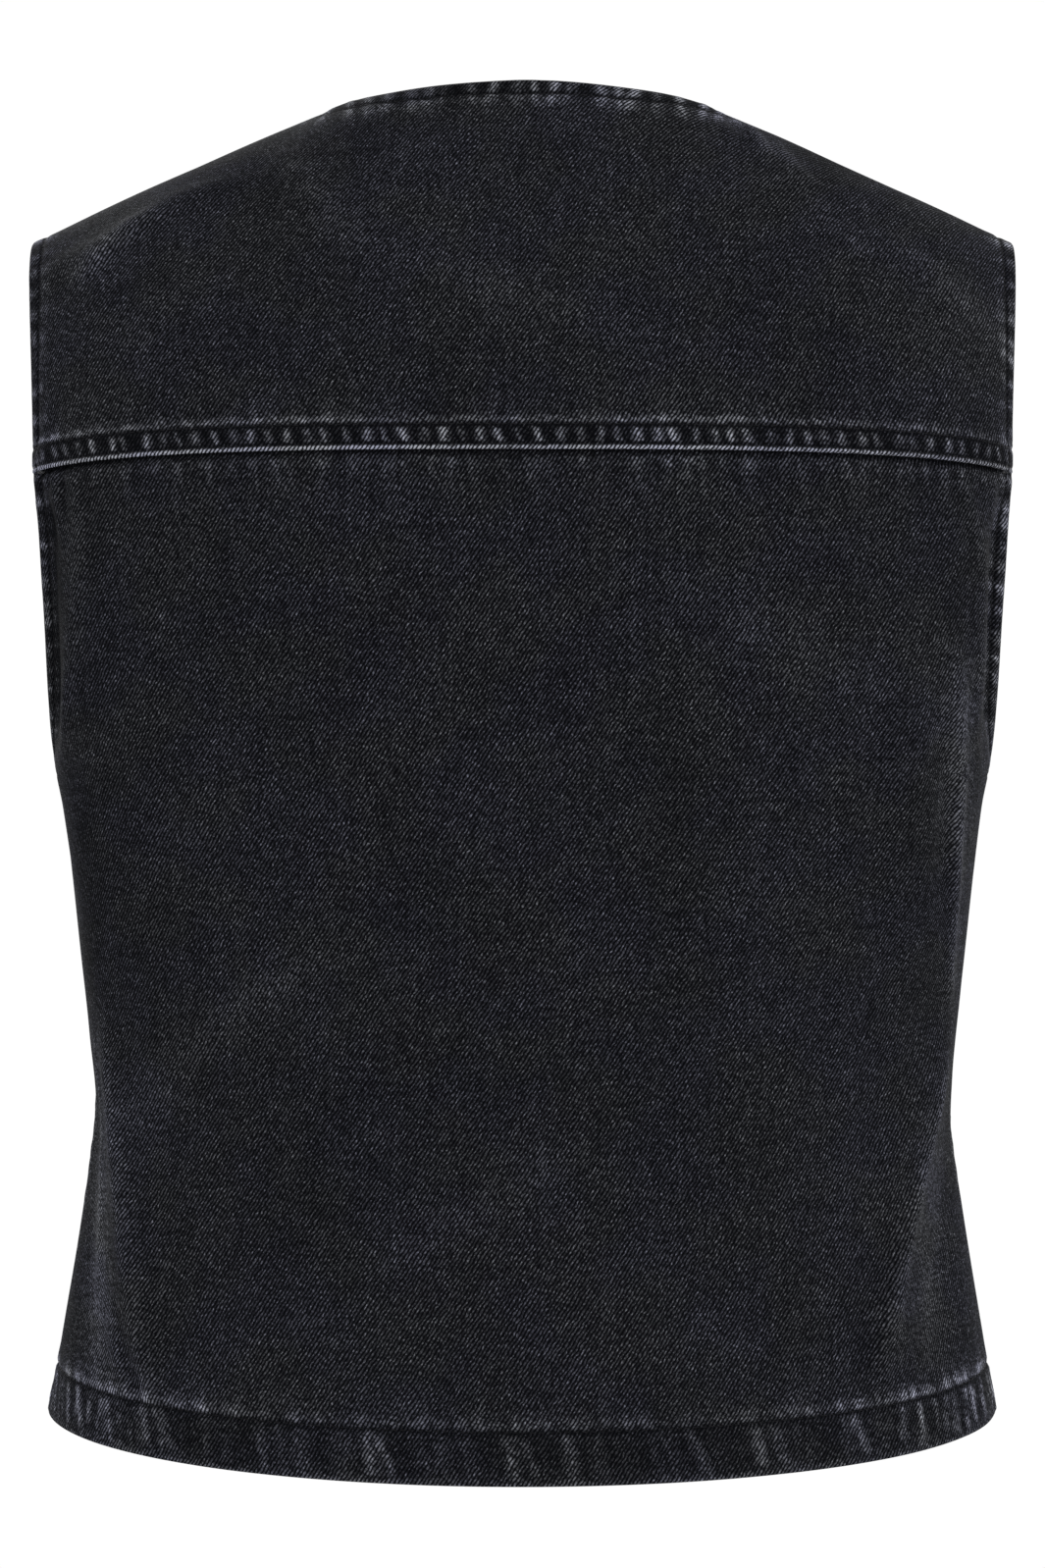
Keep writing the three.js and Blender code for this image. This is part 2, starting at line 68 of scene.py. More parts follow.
OVER_LIFT = 1.6
LAP_FADE = (372, 402)
LAP_WIDTH = (14, 42)
FRONT_HEM = 2
NECK_SHARE = 0.3873  # the share of the yoke's half width that ends on the neck edge
CORNER_REACH = 0.3
BUTTONS = {"count": 5, "top": 318, "bottom": 38, "radius": 8.5}

# The cloth and its sewing.
CLOTH = 0.8
FOLD_RADIUS = 0.85  # of the face of the cloth where an edge is turned in
ROLL_STEPS = 5
ROLL_ANGLES = np.linspace(0, math.pi, ROLL_STEPS + 2)[1:-1]
EDGE_TURN = 8
YOKE_LIFT = 1.1  # the folded edge of the yoke, over the back panel
YOKE_LAP = 10.5
YOKE_RISE = 160  # about how far the cloth runs from the yoke seam to the top
LAP_SINK = 1.5  # how far the back panel dips to pass under that edge
EDGE_ROW = 6.4  # topstitching along the armholes and the fronts
NECK_ROW = 7.0
YOKE_ROWS = (1.9, 9.6)  # topstitching above the folded edge of the yoke
STITCH = {"pitch": 3.3, "length": 2.9, "radius": 0.27, "sink": 0.13}
ENDS_PER_MM = 1 / 0.405
PICKS_PER_MM = 1 / 0.62
GRID_STEP = 2.45
YOKE_STEP = 1.5
FINE_ROWS = 400
OTHER_SIDE = 1000  # added to lengths on the wearer's left, so that its puckers differ


def table(columns, *rows):
    """A short table with named columns, as arrays."""
    return {name: np.array(values, float) for name, values in zip(columns.split(), zip(*rows))}


# How deep the body is behind and in front of the side seams, and how square each half of its section is.
BODY = table(
    "height back front back_square front_square",
    (0, 114.5, 107, 1.98, 2.0),
    (45, 108, 102, 2.0, 2.1),
    (95, 99, 96, 2.0, 2.1),
    (137, 95, 95, 2.0, 2.1),
    (180, 98, 102, 2.05, 2.15),
    (225, 104, 113, 2.3, 2.2),
    (268, 109, 119, 2.65, 2.3),
    (310, 112, 121, 2.9, 2.4),
    (350, 112, 119, 3.0, 2.5),
    (392, 111, 115, 2.9, 2.5),
    (410, 111, 114, 2.9, 2.5),
)
SIDE_SEAM = table(
    "height half_width",
    (0, 196.6),
    (24, 191.7),
    (48, 187.4),
    (80, 182.2),
    (112, 178.2),
    (137, 176.2),
    (161, 177.4),
    (193, 180.7),
    (225, 184.0),
    (256, 187.4),
    (268, 189.6),
)
ARMHOLE_EDGE = table(
    "height back front",
    (268, 189.6, 189.6),
    (285, 190.0, 187.6),
    (300, 190.3, 186.5),
    (330, 191.1, 184.4),
    (360, 192.6, 184.4),
    (388, 194.0, 186.0),
)


def fold_table(*rows):
    """A table of folds.

    A run is measured along the cloth from the centre line and is negative on the wearer's right. A positive
    depth is a ridge and a negative one a trough. bend moves the middle of the fold sideways.
    """
    return table("top_run top_height end_run end_height bend width depth", *rows)


# The main folds, which the solids have too.
BACK_FOLDS = fold_table(
    (202, 384, 207, 276, 0, 9, -2.3),
    (-199, 376, -206, 276, 0, 8, -2.0),
    (185, 172, 156, 34, 0, 14, 3.0),
    (203, 150, 192, 34, 0, 14, -2.4),
    (-195, 172, -146, 30, 12, 15, 4.0),
    (-206, 132, -184, 30, 6, 16, -2.8),
    (-150, 335, -164, 205, 0, 14, 2.2),
)
YOKE_FOLDS = fold_table(
    (120, 506, 192, 468, 0, 15, 2.2),
    (-86, 530, -116, 498, 0, 11, 1.8),
)
FRONT_FOLDS = fold_table(
    (192, 372, 200, 278, 0, 7, -3.0),
    (182, 176, 150, 32, -8, 15, 3.4),
    (200, 140, 184, 34, 0, 15, -2.6),
    (92, 262, 70, 150, 6, 18, 2.2),
    (158, 330, 166, 214, 0, 13, 2.0),
)

# Finer creases, which the solids leave out.
BACK_CREASES = fold_table(
    (181, 374, 206, 276, -10, 7, 1.4),
    (-187, 372, -196, 292, 0, 6, 1.2),
    (205, 394, 205, 380, 0, 1.5, -0.9),
    (199, 394, 198, 379, 0, 1.6, -1.0),
    (190, 393, 186, 372, 0, 2.8, -1.3),
    (180, 390, 172, 368, 0, 3, -0.8),
    (195, 388, 190, 370, 0, 3, 0.9),
    (186, 168, 158, 40, 0, 6, 2.0),
    (199, 168, 190, 60, 0, 4, 1.2),
    (177, 56, 166, 22, 0, 4, 1.2),
    (160, 50, 150, 21, 0, 3.5, 1.2),
    (168, 46, 158, 22, 0, 3.5, -0.9),
    (-191, 152, -146, 36, 6, 5, 2.4),
    (-172, 128, -136, 34, 6, 8, -1.5),
    (-176, 316, -188, 226, 0, 5, 1.8),
    (-164, 300, -178, 220, -4, 7, -1.5),
    (-184, 274, -186, 222, 0, 3, 1.1),
    (-188, 236, -192, 176, 0, 4, 1.6),
    (-160, 322, -184, 312, 0, 4, 1.0),
    (66, 206, 168, 124, 12, 16, 1.1),
    (20, 170, 118, 96, 10, 15, -1.0),
    (-20, 130, 60, 76, -6, 13, 0.8),
    (-120, 170, -40, 120, 8, 15, -0.8),
    (-60, 350, -140, 296, 8, 22, 0.8),
)
YOKE_CREASES = fold_table(
    (148, 492, 184, 462, 4, 7, 1.4),
    (96, 520, 60, 470, 4, 9, 1.0),
    (-93, 533, -99, 511, 0, 3, 1.5),
    (-87, 532, -91, 517, 0, 3, -1.2),
    (-104, 526, -134, 472, 4, 6, 1.1),
    (-150, 480, -196, 440, 0, 9, 1.0),
    (40, 470, -60, 430, 8, 20, 0.7),
)

FRONT_CREASES = {
    1: fold_table(
        (188, 366, 196, 290, 0, 6, 1.5),
        (176, 168, 152, 36, -8, 5, 2.2),
        (196, 160, 188, 60, 0, 4, 1.2),
        (150, 50, 142, 21, 0, 3.5, 1.2),
        (112, 256, 178, 216, 6, 8, 1.5),
        (96, 226, 168, 168, 10, 9, -1.2),
        (40, 210, 120, 150, 8, 14, 1.0),
        (30, 120, 96, 70, -6, 13, -0.9),
        (150, 360, 120, 300, 6, 10, 1.0),
        (60, 440, 130, 352, 10, 14, 1.0),
        (14, 92, 50, 40, 4, 8, 0.9),
    ),
    -1: fold_table(
        (186, 362, 194, 282, 0, 6, 1.3),
        (182, 150, 158, 34, -6, 5, 1.9),
        (194, 130, 186, 40, 0, 4, 1.0),
        (134, 60, 128, 21, 0, 4, 1.1),
        (130, 264, 182, 232, 4, 7, 1.6),
        (88, 240, 160, 188, 12, 10, -1.1),
        (34, 190, 104, 128, 10, 15, 1.1),
        (44, 96, 110, 52, -8, 12, -0.9),
        (158, 352, 128, 288, 4, 9, 0.9),
        (56, 452, 124, 372, 8, 13, 0.9),
    ),
}

# Painted light and shade over wider areas: paler on facets and crests that face the lamps, darker in troughs
# and on facets turned away from them. The last column is how much paler the cloth is painted, and when
# negative how much darker.
BACK_PAINTED_LIGHT_AND_SHADE = fold_table(
    (198, 168, 187, 30, 0, 12, 0.24),
    (-196, 156, -172, 34, 4, 14, 0.16),
    (-176, 312, -182, 234, 0, 13, 0.24),
    (-192, 250, -197, 170, 0, 6, 0.16),
    (-172, 392, -186, 318, 0, 24, -0.4),
    (184, 392, 192, 290, 0, 26, -0.3),
    (208, 394, 214, 272, 0, 5, -0.1),
    (199, 388, 209, 276, -5, 7, -0.85),
    (181, 374, 206, 276, -10, 4, 0.08),
    (-206, 394, -212, 272, 0, 9, -0.15),
    (194, 112, 182, 20, 0, 12, 0.2),
    (188, 270, 196, 176, 0, 14, -0.45),
)
# On the yoke: painted paler along the crests of its folds, painted darker as shade along the armholes and
# where the shoulders turn up.
YOKE_PAINTED_LIGHT_AND_SHADE = fold_table(
    (150, 496, 184, 462, 0, 10, 0.12),
    (82, 542, 108, 520, 0, 10, 0.08),
    (-82, 540, -108, 510, 0, 8, 0.15),
    (208, 486, 210, 396, 0, 9, -0.4),
    (-208, 486, -210, 396, 0, 9, -0.35),
    (-110, 530, -212, 488, 0, 14, -0.3),
    (104, 534, 214, 486, 0, 16, -0.7),
)
# On the fronts: painted paler on the facets towards the sides, painted darker as shade on the armhole strip.
FRONT_PAINTED_LIGHT_AND_SHADE = fold_table(
    (190, 160, 184, 34, 0, 12, 0.16),
    (176, 318, 182, 234, 0, 13, 0.12),
    (206, 394, 212, 272, 0, 9, -0.4),
    (150, 250, 120, 180, 0, 20, 0.06),
)

# Distances from an edge to the grid lines near it, where the sewing needs them. Even steps follow.
HEM_STOPS = (0.85, 2, 3.6, 5.4, 7.4, 9.6, 11.8, 14, 16, 17.8, 19.2, 20, 20.8, 22, 23.6, 25.6)
SIDE_STOPS = (0.65, 2, 3.4, 4.6, 5.7, 6.4, 7.1, 8.2, 9.8, 11.8)
UNDER_YOKE_STOPS = (0, 0.8, 1.7, 2.7, 4, 5.6, 7.4)
YOKE_STOPS = (0.85, 1.3, 1.9, 2.6, 3.4, 4.4, 5.6, 6.8, 7.9, 8.9, 9.6, 10.3, 11.1, 12.1, 13.5, 15.3)


def mix(a, b, share):
    return a + (b - a) * share


def smooth(value, low, high):
    share = np.clip((value - low) / (high - low), 0, 1)
    return share * share * (3 - 2 * share)


def stretch(value, start, full, last, end):
    """1 from full to last, fading to 0 at start and at end."""
    return smooth(value, start, full) * (1 - smooth(value, last, end))


def bump(distance, centre, width):
    return np.exp(-(((distance - centre) / width) ** 2))


def read(tab, key, height):
    """A smooth curve through one column of a table."""
    heights, values = tab["height"], tab[key]
    last = len(heights) - 1
    h = np.clip(height, heights[0], heights[-1])
    i = np.clip(np.searchsorted(heights, h, side="left") - 1, 0, last - 1)

    def slope(a, b):
        return (values[b] - values[a]) / (heights[b] - heights[a])

    span = heights[i + 1] - heights[i]
    t = (h - heights[i]) / span
    before = slope(np.maximum(i - 1, 0), i + 1) * span
    after = slope(i, np.minimum(i + 2, last)) * span
    bend = t * t * (3 - 2 * t)
    return values[i] + (values[i + 1] - values[i]) * bend + t * (1 - t) * ((1 - t) * before - t * after)


def edge_point(side, height):
    """Where a row ends: on the side seam below the underarm, and on the armhole edge above it."""
    drop = np.clip((YOKE_SIDE - height) / (YOKE_SIDE - UNDERARM), 0, 1)
    power = ARMHOLE["lower_round"]
    above = height > UNDERARM
    x = np.where(above, read(ARMHOLE_EDGE, side, height), read(SIDE_SEAM, "half_width", height))
    return x, np.where(above, ARMHOLE[side] * (1 - drop**power) ** (1 / power), 0)


def section_arcs(side, ups):
    """Half of the section at each row, from the centre out to its edge: x, y, z and the length run so far."""
    samples = 400
    centre_height = ups * YOKE_SEAM if side == "back" else mix(FRONT_HEM, YOKE_SIDE, ups)
    edge_height = mix(SIDE_LIFT, YOKE_SIDE, ups)
    depth = read(BODY, side, centre_height)
    square = read(BODY, side + "_square", centre_height)
    edge_x, edge_y = edge_point(side, edge_height)
    full_width = edge_x / (1 - (edge_y / depth) ** square) ** (1 / square)
    end = np.arcsin(np.minimum(1, (edge_x / full_width) ** (square / 2)))
    angle = end[:, None] * np.linspace(0, 1, samples + 1)
    power = (2 / square)[:, None]
    x = full_width[:, None] * np.sin(angle) ** power
    y = depth[:, None] * np.maximum(0, np.cos(angle)) ** power
    y[:, -1] = edge_y
    share = (y - edge_y[:, None]) / (depth - edge_y)[:, None]
    z = mix(edge_height[:, None], centre_height[:, None], share)
    steps = np.hypot(np.diff(x), np.diff(y))
    run = np.concatenate([np.zeros((len(ups), 1)), np.cumsum(steps, axis=1)], axis=1)
    return x, y, z, run


def along_arcs(arcs, runs):
    """Points at lengths along each row's section. A negative length lies as far beyond the centre."""
    x, y, z, run = arcs
    points = np.empty(runs.shape + (3,))
    for j in range(len(runs)):
        length = np.abs(runs[j])
        points[j, :, 0] = np.sign(runs[j]) * np.interp(length, run[j], x[j])
        points[j, :, 1] = np.interp(length, run[j], y[j])
        points[j, :, 2] = np.interp(length, run[j], z[j])
    return points


def lean_over(foot, top, turn, lean, rise, spread):
    """Columns above the chest: each leaves its foot upright and leans over to its top."""
    angle = turn * math.pi / 2
    climbed = np.sin(angle) ** (2 / rise)
    left = np.maximum(0, np.cos(angle)) ** (2 / lean)
    x = mix(foot[..., 0], top[..., 0], climbed**spread)
    y = mix(top[..., 1], foot[..., 1], left)
    z = mix(foot[..., 2], top[..., 2], climbed)
    return np.stack([x, y, z], axis=-1)


def yoke_top(across):
    """The yoke's upper edge: the neck curve, then the straight shoulder seam."""
    a, side = np.abs(across), np.sign(across)
    shoulder = (a - NECK_SHARE) / (1 - NECK_SHARE)
    neck = np.clip(a / NECK_SHARE, 0, 1)
    back = BACK_NECK["y"] * (1 - neck ** BACK_NECK["round"]) ** (1 / BACK_NECK["round"])
    on_shoulder = a >= NECK_SHARE
    x = np.where(on_shoulder, mix(NECK_POINT[0], SHOULDER_POINT[0], shoulder), NECK_POINT[0] * neck)
    z_shoulder = mix(NECK_POINT[1], SHOULDER_POINT[1], shoulder)
    z = np.where(on_shoulder, z_shoulder, mix(BACK_NECK["z"], NECK_POINT[1], neck**2))
    return np.stack([side * x, np.where(on_shoulder, 0, back), z], axis=-1)


def soft_top(across, reach):
    """The edge that a row of the yoke leans towards, with its corner rounded off over a reach."""
    return sum(yoke_top(across + step * reach) for step in (-1, -0.6, -0.2, 0.2, 0.6, 1)) / 6


def back_points(ups, runs):
    """The back of the garment. up is 0 at the hem, 1 at the yoke seam and 2 on top."""
    points = along_arcs(section_arcs("back", np.minimum(ups, 1)), runs)
    over = ups > 1
    if over.any():
        up = ups[over][:, None]
        across = runs[over] / BACK_REACH
        a = np.abs(across)
        outer = smooth(a, NECK_SHARE, 1)
        lean = mix(mix(1.0, 1.7, smooth(a, 0, 0.5)), ARMHOLE["upper_round"], outer)
        rise = mix(1.8, ARMHOLE["upper_round"], outer)
        top = soft_top(across, CORNER_REACH * (2 - up) * np.minimum(1, 2 * (1 - a)))
        points[over] = lean_over(points[over], top, up - 1, lean, rise, mix(1.3, 1.9, outer))
    points[..., 1] += SEAM_GAP / 2
    return points


BACK_REACH = section_arcs("back", np.ones(1))[3][0, -1]


def front_edge(height):
    """Where a front begins, as a length from the centre front: on its button stand, then on the neck edge."""
    climbed = (height - V_POINT) / (NECK_POINT[1] - V_POINT)
    corner = 0.03
    return -BUTTON_STAND + (NECK_POINT[0] + BUTTON_STAND) * (climbed + np.hypot(climbed, corner)) / 2


def front_points(ups, across):
    """The wearer's left front. across runs from 0 at the front edge to 1 at the side seam or armhole."""
    row = np.minimum(ups, 1)
    arcs = section_arcs("front", row)
    start = front_edge(mix(FRONT_HEM, YOKE_SIDE, row))[:, None]
    runs = mix(start, arcs[3][:, -1:], across)
    points = along_arcs(arcs, runs)
    over = ups > 1
    a = across[over]
    ends = zip((NECK_POINT[0], 0, NECK_POINT[1]), (SHOULDER_POINT[0], 0, SHOULDER_POINT[1]))
    top = np.stack([mix(low, high, a) for low, high in ends], axis=-1)
    bend = mix(1.55, ARMHOLE["upper_round"], smooth(a, 0, 1))
    points[over] = lean_over(points[over], top, ups[over][:, None] - 1, bend, bend, mix(1, 1.3, a))
    points[..., 1] = -points[..., 1] - SEAM_GAP / 2
    return points, runs


def fold_lift(folds, run, height):
    """How far folds push the cloth out at a place."""
    lift = np.zeros_like(run)
    for top_run, top_height, end_run, end_height, bend, width, depth in zip(*folds.values()):
        along = (top_height - height) / (top_height - end_height)
        middle = mix(top_run, end_run, along) + 4 * bend * along * (1 - along)
        fade = stretch(along, -0.12, 0.25, 0.78, 1.12)
        lift += depth * fade * np.exp(-(((run - middle) / width) ** 2))
    return lift


def creases_and_painted_light(patches, creases, run, height):
    """Lift, paleness and darkness of the finer creases and of the areas of painted light and shade: crests
    are painted paler, as wear and light, and troughs darker, as shade.
    """
    crest_wear_and_light, trough_shade = 0.1, 0.12
    lift, painted_areas = fold_lift(creases, run, height), fold_lift(patches, run, height)
    worn = np.maximum(painted_areas, 0) + crest_wear_and_light * np.maximum(lift, 0)
    dye_and_shade = np.maximum(-painted_areas, 0) + trough_shade * np.maximum(-lift, 0)
    return lift, worn, dye_and_shade


def puckers(along, seed, spacing, width=0.3, lean=0.0, across=0.0, wander=0.33, weakest=0.25):
    """Ridges across a seam: 1 on the strongest crest and 0 between, uneven in place, strength and width."""
    rng = np.random.default_rng(seed)
    low = along.min() - 3 * spacing
    count = int((along.max() + 3 * spacing - low) / spacing)
    centres = low + (np.arange(count) + rng.uniform(-wander, wander, count)) * spacing
    strengths = rng.uniform(weakest, 1, count)
    widths = spacing * width * rng.uniform(0.7, 1.35, count)
    leans = lean + rng.uniform(-0.25, 0.25, count)
    crest = np.zeros_like(along)
    for centre, strength, wide, slant in zip(centres, strengths, widths, leans):
        crest = np.maximum(crest, strength * bump(along + slant * across, centre, wide))
    return crest


def uneven(points, seed, size):
    """Slow, soft unevenness between -1 and 1, with bumps of about a size."""
    flat = points.reshape(-1, 3) / size
    offset = Vector((seed * 7.1, seed * 3.3, 0))
    values = [noise.noise(Vector(p) + offset) for p in flat]
    return np.array(values).reshape(points.shape[:-1])


def swelling(points, seed, small, large):
    """Two sizes of unevenness together, each with its height and the size of its bumps."""
    return small[0] * uneven(points, seed, small[1]) + large[0] * uneven(points, seed + 1, large[1])


def grid_lines(near, far, length, step):
    """Distances from one edge: the stops near it, even steps, and the stops near the far edge."""
    count = max(2, round((length - near[-1] - far[-1]) / step))
    middle = np.linspace(near[-1], length - far[-1], count + 1)
    return np.concatenate([near[:-1], middle, length - np.array(far[:-1])[::-1]])


def frame_of(points, right_sign):
    """Unit vectors to the right, up and out at every place of a grid."""
    right = np.gradient(points, axis=1)
    up = np.gradient(points, axis=0)
    right /= np.linalg.norm(right, axis=-1, keepdims=True)
    up /= np.linalg.norm(up, axis=-1, keepdims=True)
    out = np.cross(right, up) * right_sign
    out /= np.linalg.norm(out, axis=-1, keepdims=True)
    return right, up, out


def lines_with_turns(count, near, far):
    """A grid's lines with its edges turned in: which line each lies over, how far out and how deep.

    near and far are the numbers of lines that the turns cover. far is None where that edge isn't turned.
    """
    out, deep = FOLD_RADIUS * np.sin(ROLL_ANGLES), FOLD_RADIUS * (1 - np.cos(ROLL_ANGLES))
    lines = np.arange(count)
    under = 2 * FOLD_RADIUS
    index = [lines[near::-1], np.zeros(ROLL_STEPS, int), lines]
    shift = [np.zeros(near + 1), -out[::-1], np.zeros(count)]
    drop = [np.full(near + 1, under), deep[::-1], np.zeros(count)]
    if far is not None:
        index += [np.full(ROLL_STEPS, count - 1), lines[: count - far - 2 : -1]]
        shift += [out, np.zeros(far + 1)]
        drop += [deep, np.full(far + 1, under)]
    return np.concatenate(index), np.concatenate(shift), np.concatenate(drop)


def turned_pattern(values, index, axis, near, far):
    """Pattern lengths along an axis, carried on round the turned edges."""
    values = np.moveaxis(values, axis, 0)
    carried = values[index]
    arcs = ROLL_ANGLES[:, None] * FOLD_RADIUS
    roll = math.pi * FOLD_RADIUS
    sign = np.sign(values[-1] - values[0])
    carried[: near + 1] = 2 * values[0] - values[near::-1] - sign * roll
    carried[near + 1 : near + 1 + ROLL_STEPS] = values[0] - sign * arcs[::-1]
    if far is not None:
        mirrored = values[: len(values) - far - 2 : -1]
        carried[len(carried) - far - 1 :] = 2 * values[-1] - mirrored + sign * roll
        start = len(carried) - far - 1 - ROLL_STEPS
        carried[start : start + ROLL_STEPS] = values[-1] + sign * arcs
    return np.moveaxis(carried, 0, axis)


def pattern_heights(points, runs):
    """Lengths up the cloth, with the part of each step that goes sideways taken out."""
    steps = np.linalg.norm(np.diff(points, axis=0), axis=-1) ** 2 - np.diff(runs, axis=0) ** 2
    climbed = np.cumsum(np.sqrt(np.maximum(steps, 1e-4)), axis=0)
    return np.concatenate([points[:1, :, 2], points[:1, :, 2] + climbed])


def to_frame(points):
    return (points - np.array([0, 0, REST_HEIGHT])) * MM


def cloth_piece(name, grid, turns, outward):
    """A panel: a sheet over a grid of places, with its edges turned in, and the thickness of the cloth.

    grid holds points on the face of the cloth, their right, up and out vectors, the pattern's run and rise,
    and two masks, one of wear with painted light and one of unfaded dye with painted shade. turns says how
    many grid lines the turned edges cover, left, right, low and high. outward is 1 where right, up and out
    are right-handed on the mesh, and -1 where they are mirrored.
    """
    left, right, low, high = turns
    rows, columns = grid["points"].shape[:2]
    column, shift_right, drop_across = lines_with_turns(columns, left, right)
    row, shift_up, drop_up = lines_with_turns(rows, low, high)
    at = np.ix_(row, column)
    places = (
        grid["points"][at]
        + grid["right"][at] * shift_right[None, :, None]
        + grid["up"][at] * shift_up[:, None, None]
        - grid["out"][at] * (drop_across[None, :, None] + drop_up[:, None, None])
    )
    run = turned_pattern(grid["run"][row], column, 1, left, right)
    rise = turned_pattern(grid["rise"][:, column], row, 0, low, high)
    turned = np.minimum(1, (drop_across[None, :] + drop_up[:, None]) / (2 * FOLD_RADIUS))
    places = to_frame(places)

    bm = bmesh.new()
    bmesh.ops.create_grid(bm, x_segments=len(column) - 1, y_segments=len(row) - 1, size=1)
    order = np.empty((len(bm.verts), 2), int)
    for number, vert in enumerate(bm.verts):
        i = round((vert.co.x + 1) / 2 * (len(column) - 1))
        j = round((vert.co.y + 1) / 2 * (len(row) - 1))
        order[number] = j, i
        vert.co = places[j, i]
    if outward < 0:
        bmesh.ops.reverse_faces(bm, faces=bm.faces)
    piece = finish_mesh(name, bm)
    mesh = piece.data
    j, i = order[:, 0], order[:, 1]
    corners = np.empty(len(mesh.loops), int)
    mesh.loops.foreach_get("vertex_index", corners)
    pattern = np.stack([run[j, i], rise[j, i]], axis=-1) * MM
    mesh.uv_layers.new(name="pattern").data.foreach_set("uv", pattern[corners].astype(np.float32).ravel())
    # The two masks, wear with painted light and unfaded dye with painted shade, go to the material as
    # attributes.
    masks = {"worn": grid["worn"][at] * (1 - 0.6 * turned), "dye_and_shade": grid["dye_and_shade"][at]}
    for mask, values in masks.items():
        layer = mesh.attributes.new(mask, "FLOAT", "POINT")
        layer.data.foreach_set("value", values[j, i].astype(np.float32))
    wall = piece.modifiers.new("wall", "SOLIDIFY")
    wall.thickness = CLOTH * MM
    wall.offset = -1
    wall.material_offset = 1
    wall.material_offset_rim = 1
    return piece


def finish_mesh(name, bm):
    """Turns a bmesh into a smooth-shaded object."""
    mesh = bpy.data.meshes.new(name)
    bm.to_mesh(mesh)
    bm.free()
    mesh.shade_smooth()
    piece = bpy.data.objects.new(name, mesh)
    bpy.context.scene.collection.objects.link(piece)
    return piece


def hem_relief(from_edge, run, seed):
    """Lift, wear and darkness along a turned hem, by the distance from its edge."""
    soft = puckers(run, seed, 11, 0.27, -0.3, from_edge)
    crisp = puckers(run, seed + 2, 5.2, 0.2, -0.12, from_edge, 0.3, 0.4)
    ridges = mix(soft, crisp, smooth(np.abs(run), 130, 170))
    short = puckers(run, seed + 1, 7, 0.24, -0.2, from_edge)
    ends = 0.35 + 0.65 * smooth(np.abs(run), 90, 190)
    band = stretch(from_edge, 0, 6, HEM_TURN - 1.8, HEM_TURN - 0.2)
    above = stretch(from_edge, HEM_TURN, HEM_TURN + 1.2, HEM_TURN + 2.5, HEM_TURN + 14)
    near = stretch(from_edge, HEM_TURN, HEM_TURN + 1, HEM_TURN + 2, HEM_TURN + 6)
    edge = 1 - smooth(from_edge, 1.2, 2.4)
    lift = 0.6 * band * (ridges - 0.35) + 0.35 * above * (short - 0.25) - 0.6 * bump(from_edge, HEM_TURN, 1.0)
    worn = 0.25 * edge + band * (mix(0.05, 1.15, ends) * (1.1 * ridges**1.5 + 0.15 * short) + 0.08 * ends**3)
    worn = worn + near * ends * (0.4 + 1.1 * short) + above * (0.15 + 0.2 * ends) * short
    # Darker between the ridges and along the stitch groove: unfaded dye, with painted shade in these hollows.
    dye_and_shade = mix(0.6, 0.65, ends) * band * (1 - ridges) + 0.95 * bump(from_edge, HEM_TURN, 1.2)
    return lift, worn, dye_and_shade


def edge_relief(from_edge, along, seed, spacing=8.5, row=EDGE_ROW):
    """The same along an edge that is turned in and topstitched: a neck edge, an armhole or a front."""
    strokes = puckers(along, seed, spacing, 0.27, -0.15, from_edge, 0.2, 0.35)
    band = stretch(from_edge, 0.3, 1.8, row - 1.2, row - 0.2)
    beyond = stretch(from_edge, row + 0.3, row + 1.3, row + 2, row + 9)
    lift = 0.4 * band * (strokes - 0.3) + 0.3 * beyond * (strokes - 0.3) - 0.5 * bump(from_edge, row, 0.8)
    worn = 0.3 * (1 - smooth(from_edge, 1.2, 2)) + 1.25 * band * strokes + 0.75 * beyond * strokes
    # Darker between the strokes and along the stitch groove: unfaded dye, with painted shade in these
    # hollows.
    dye_and_shade = 0.5 * (1 - smooth(from_edge, row - 1, row + 1)) * (1 - strokes) + 0.95 * bump(from_edge, row, 0.8)
    return lift, worn, dye_and_shade


def seam_relief(from_edge, along, seed):
    """The same along a plain seam, whose allowances are pressed open underneath."""
    ridges = puckers(along, seed, 9, 0.3, 0.3, from_edge)
    near = 1 - smooth(from_edge, 2, 9)
    lift = 0.3 * near * (ridges - 0.3) + 0.3 * bump(from_edge, 8, 2.2) - 0.25 * bump(from_edge, 0, 1.5)
    worn = 0.6 * bump(from_edge, 1.4, 1.1) * (0.5 + ridges)
    worn = worn + 0.35 * bump(from_edge, 8.6, 1.3) * (0.3 + ridges)
    # The seam line itself is painted darker, as shade in its groove.
    return lift, worn, 0.25 * bump(from_edge, 0, 0.9)


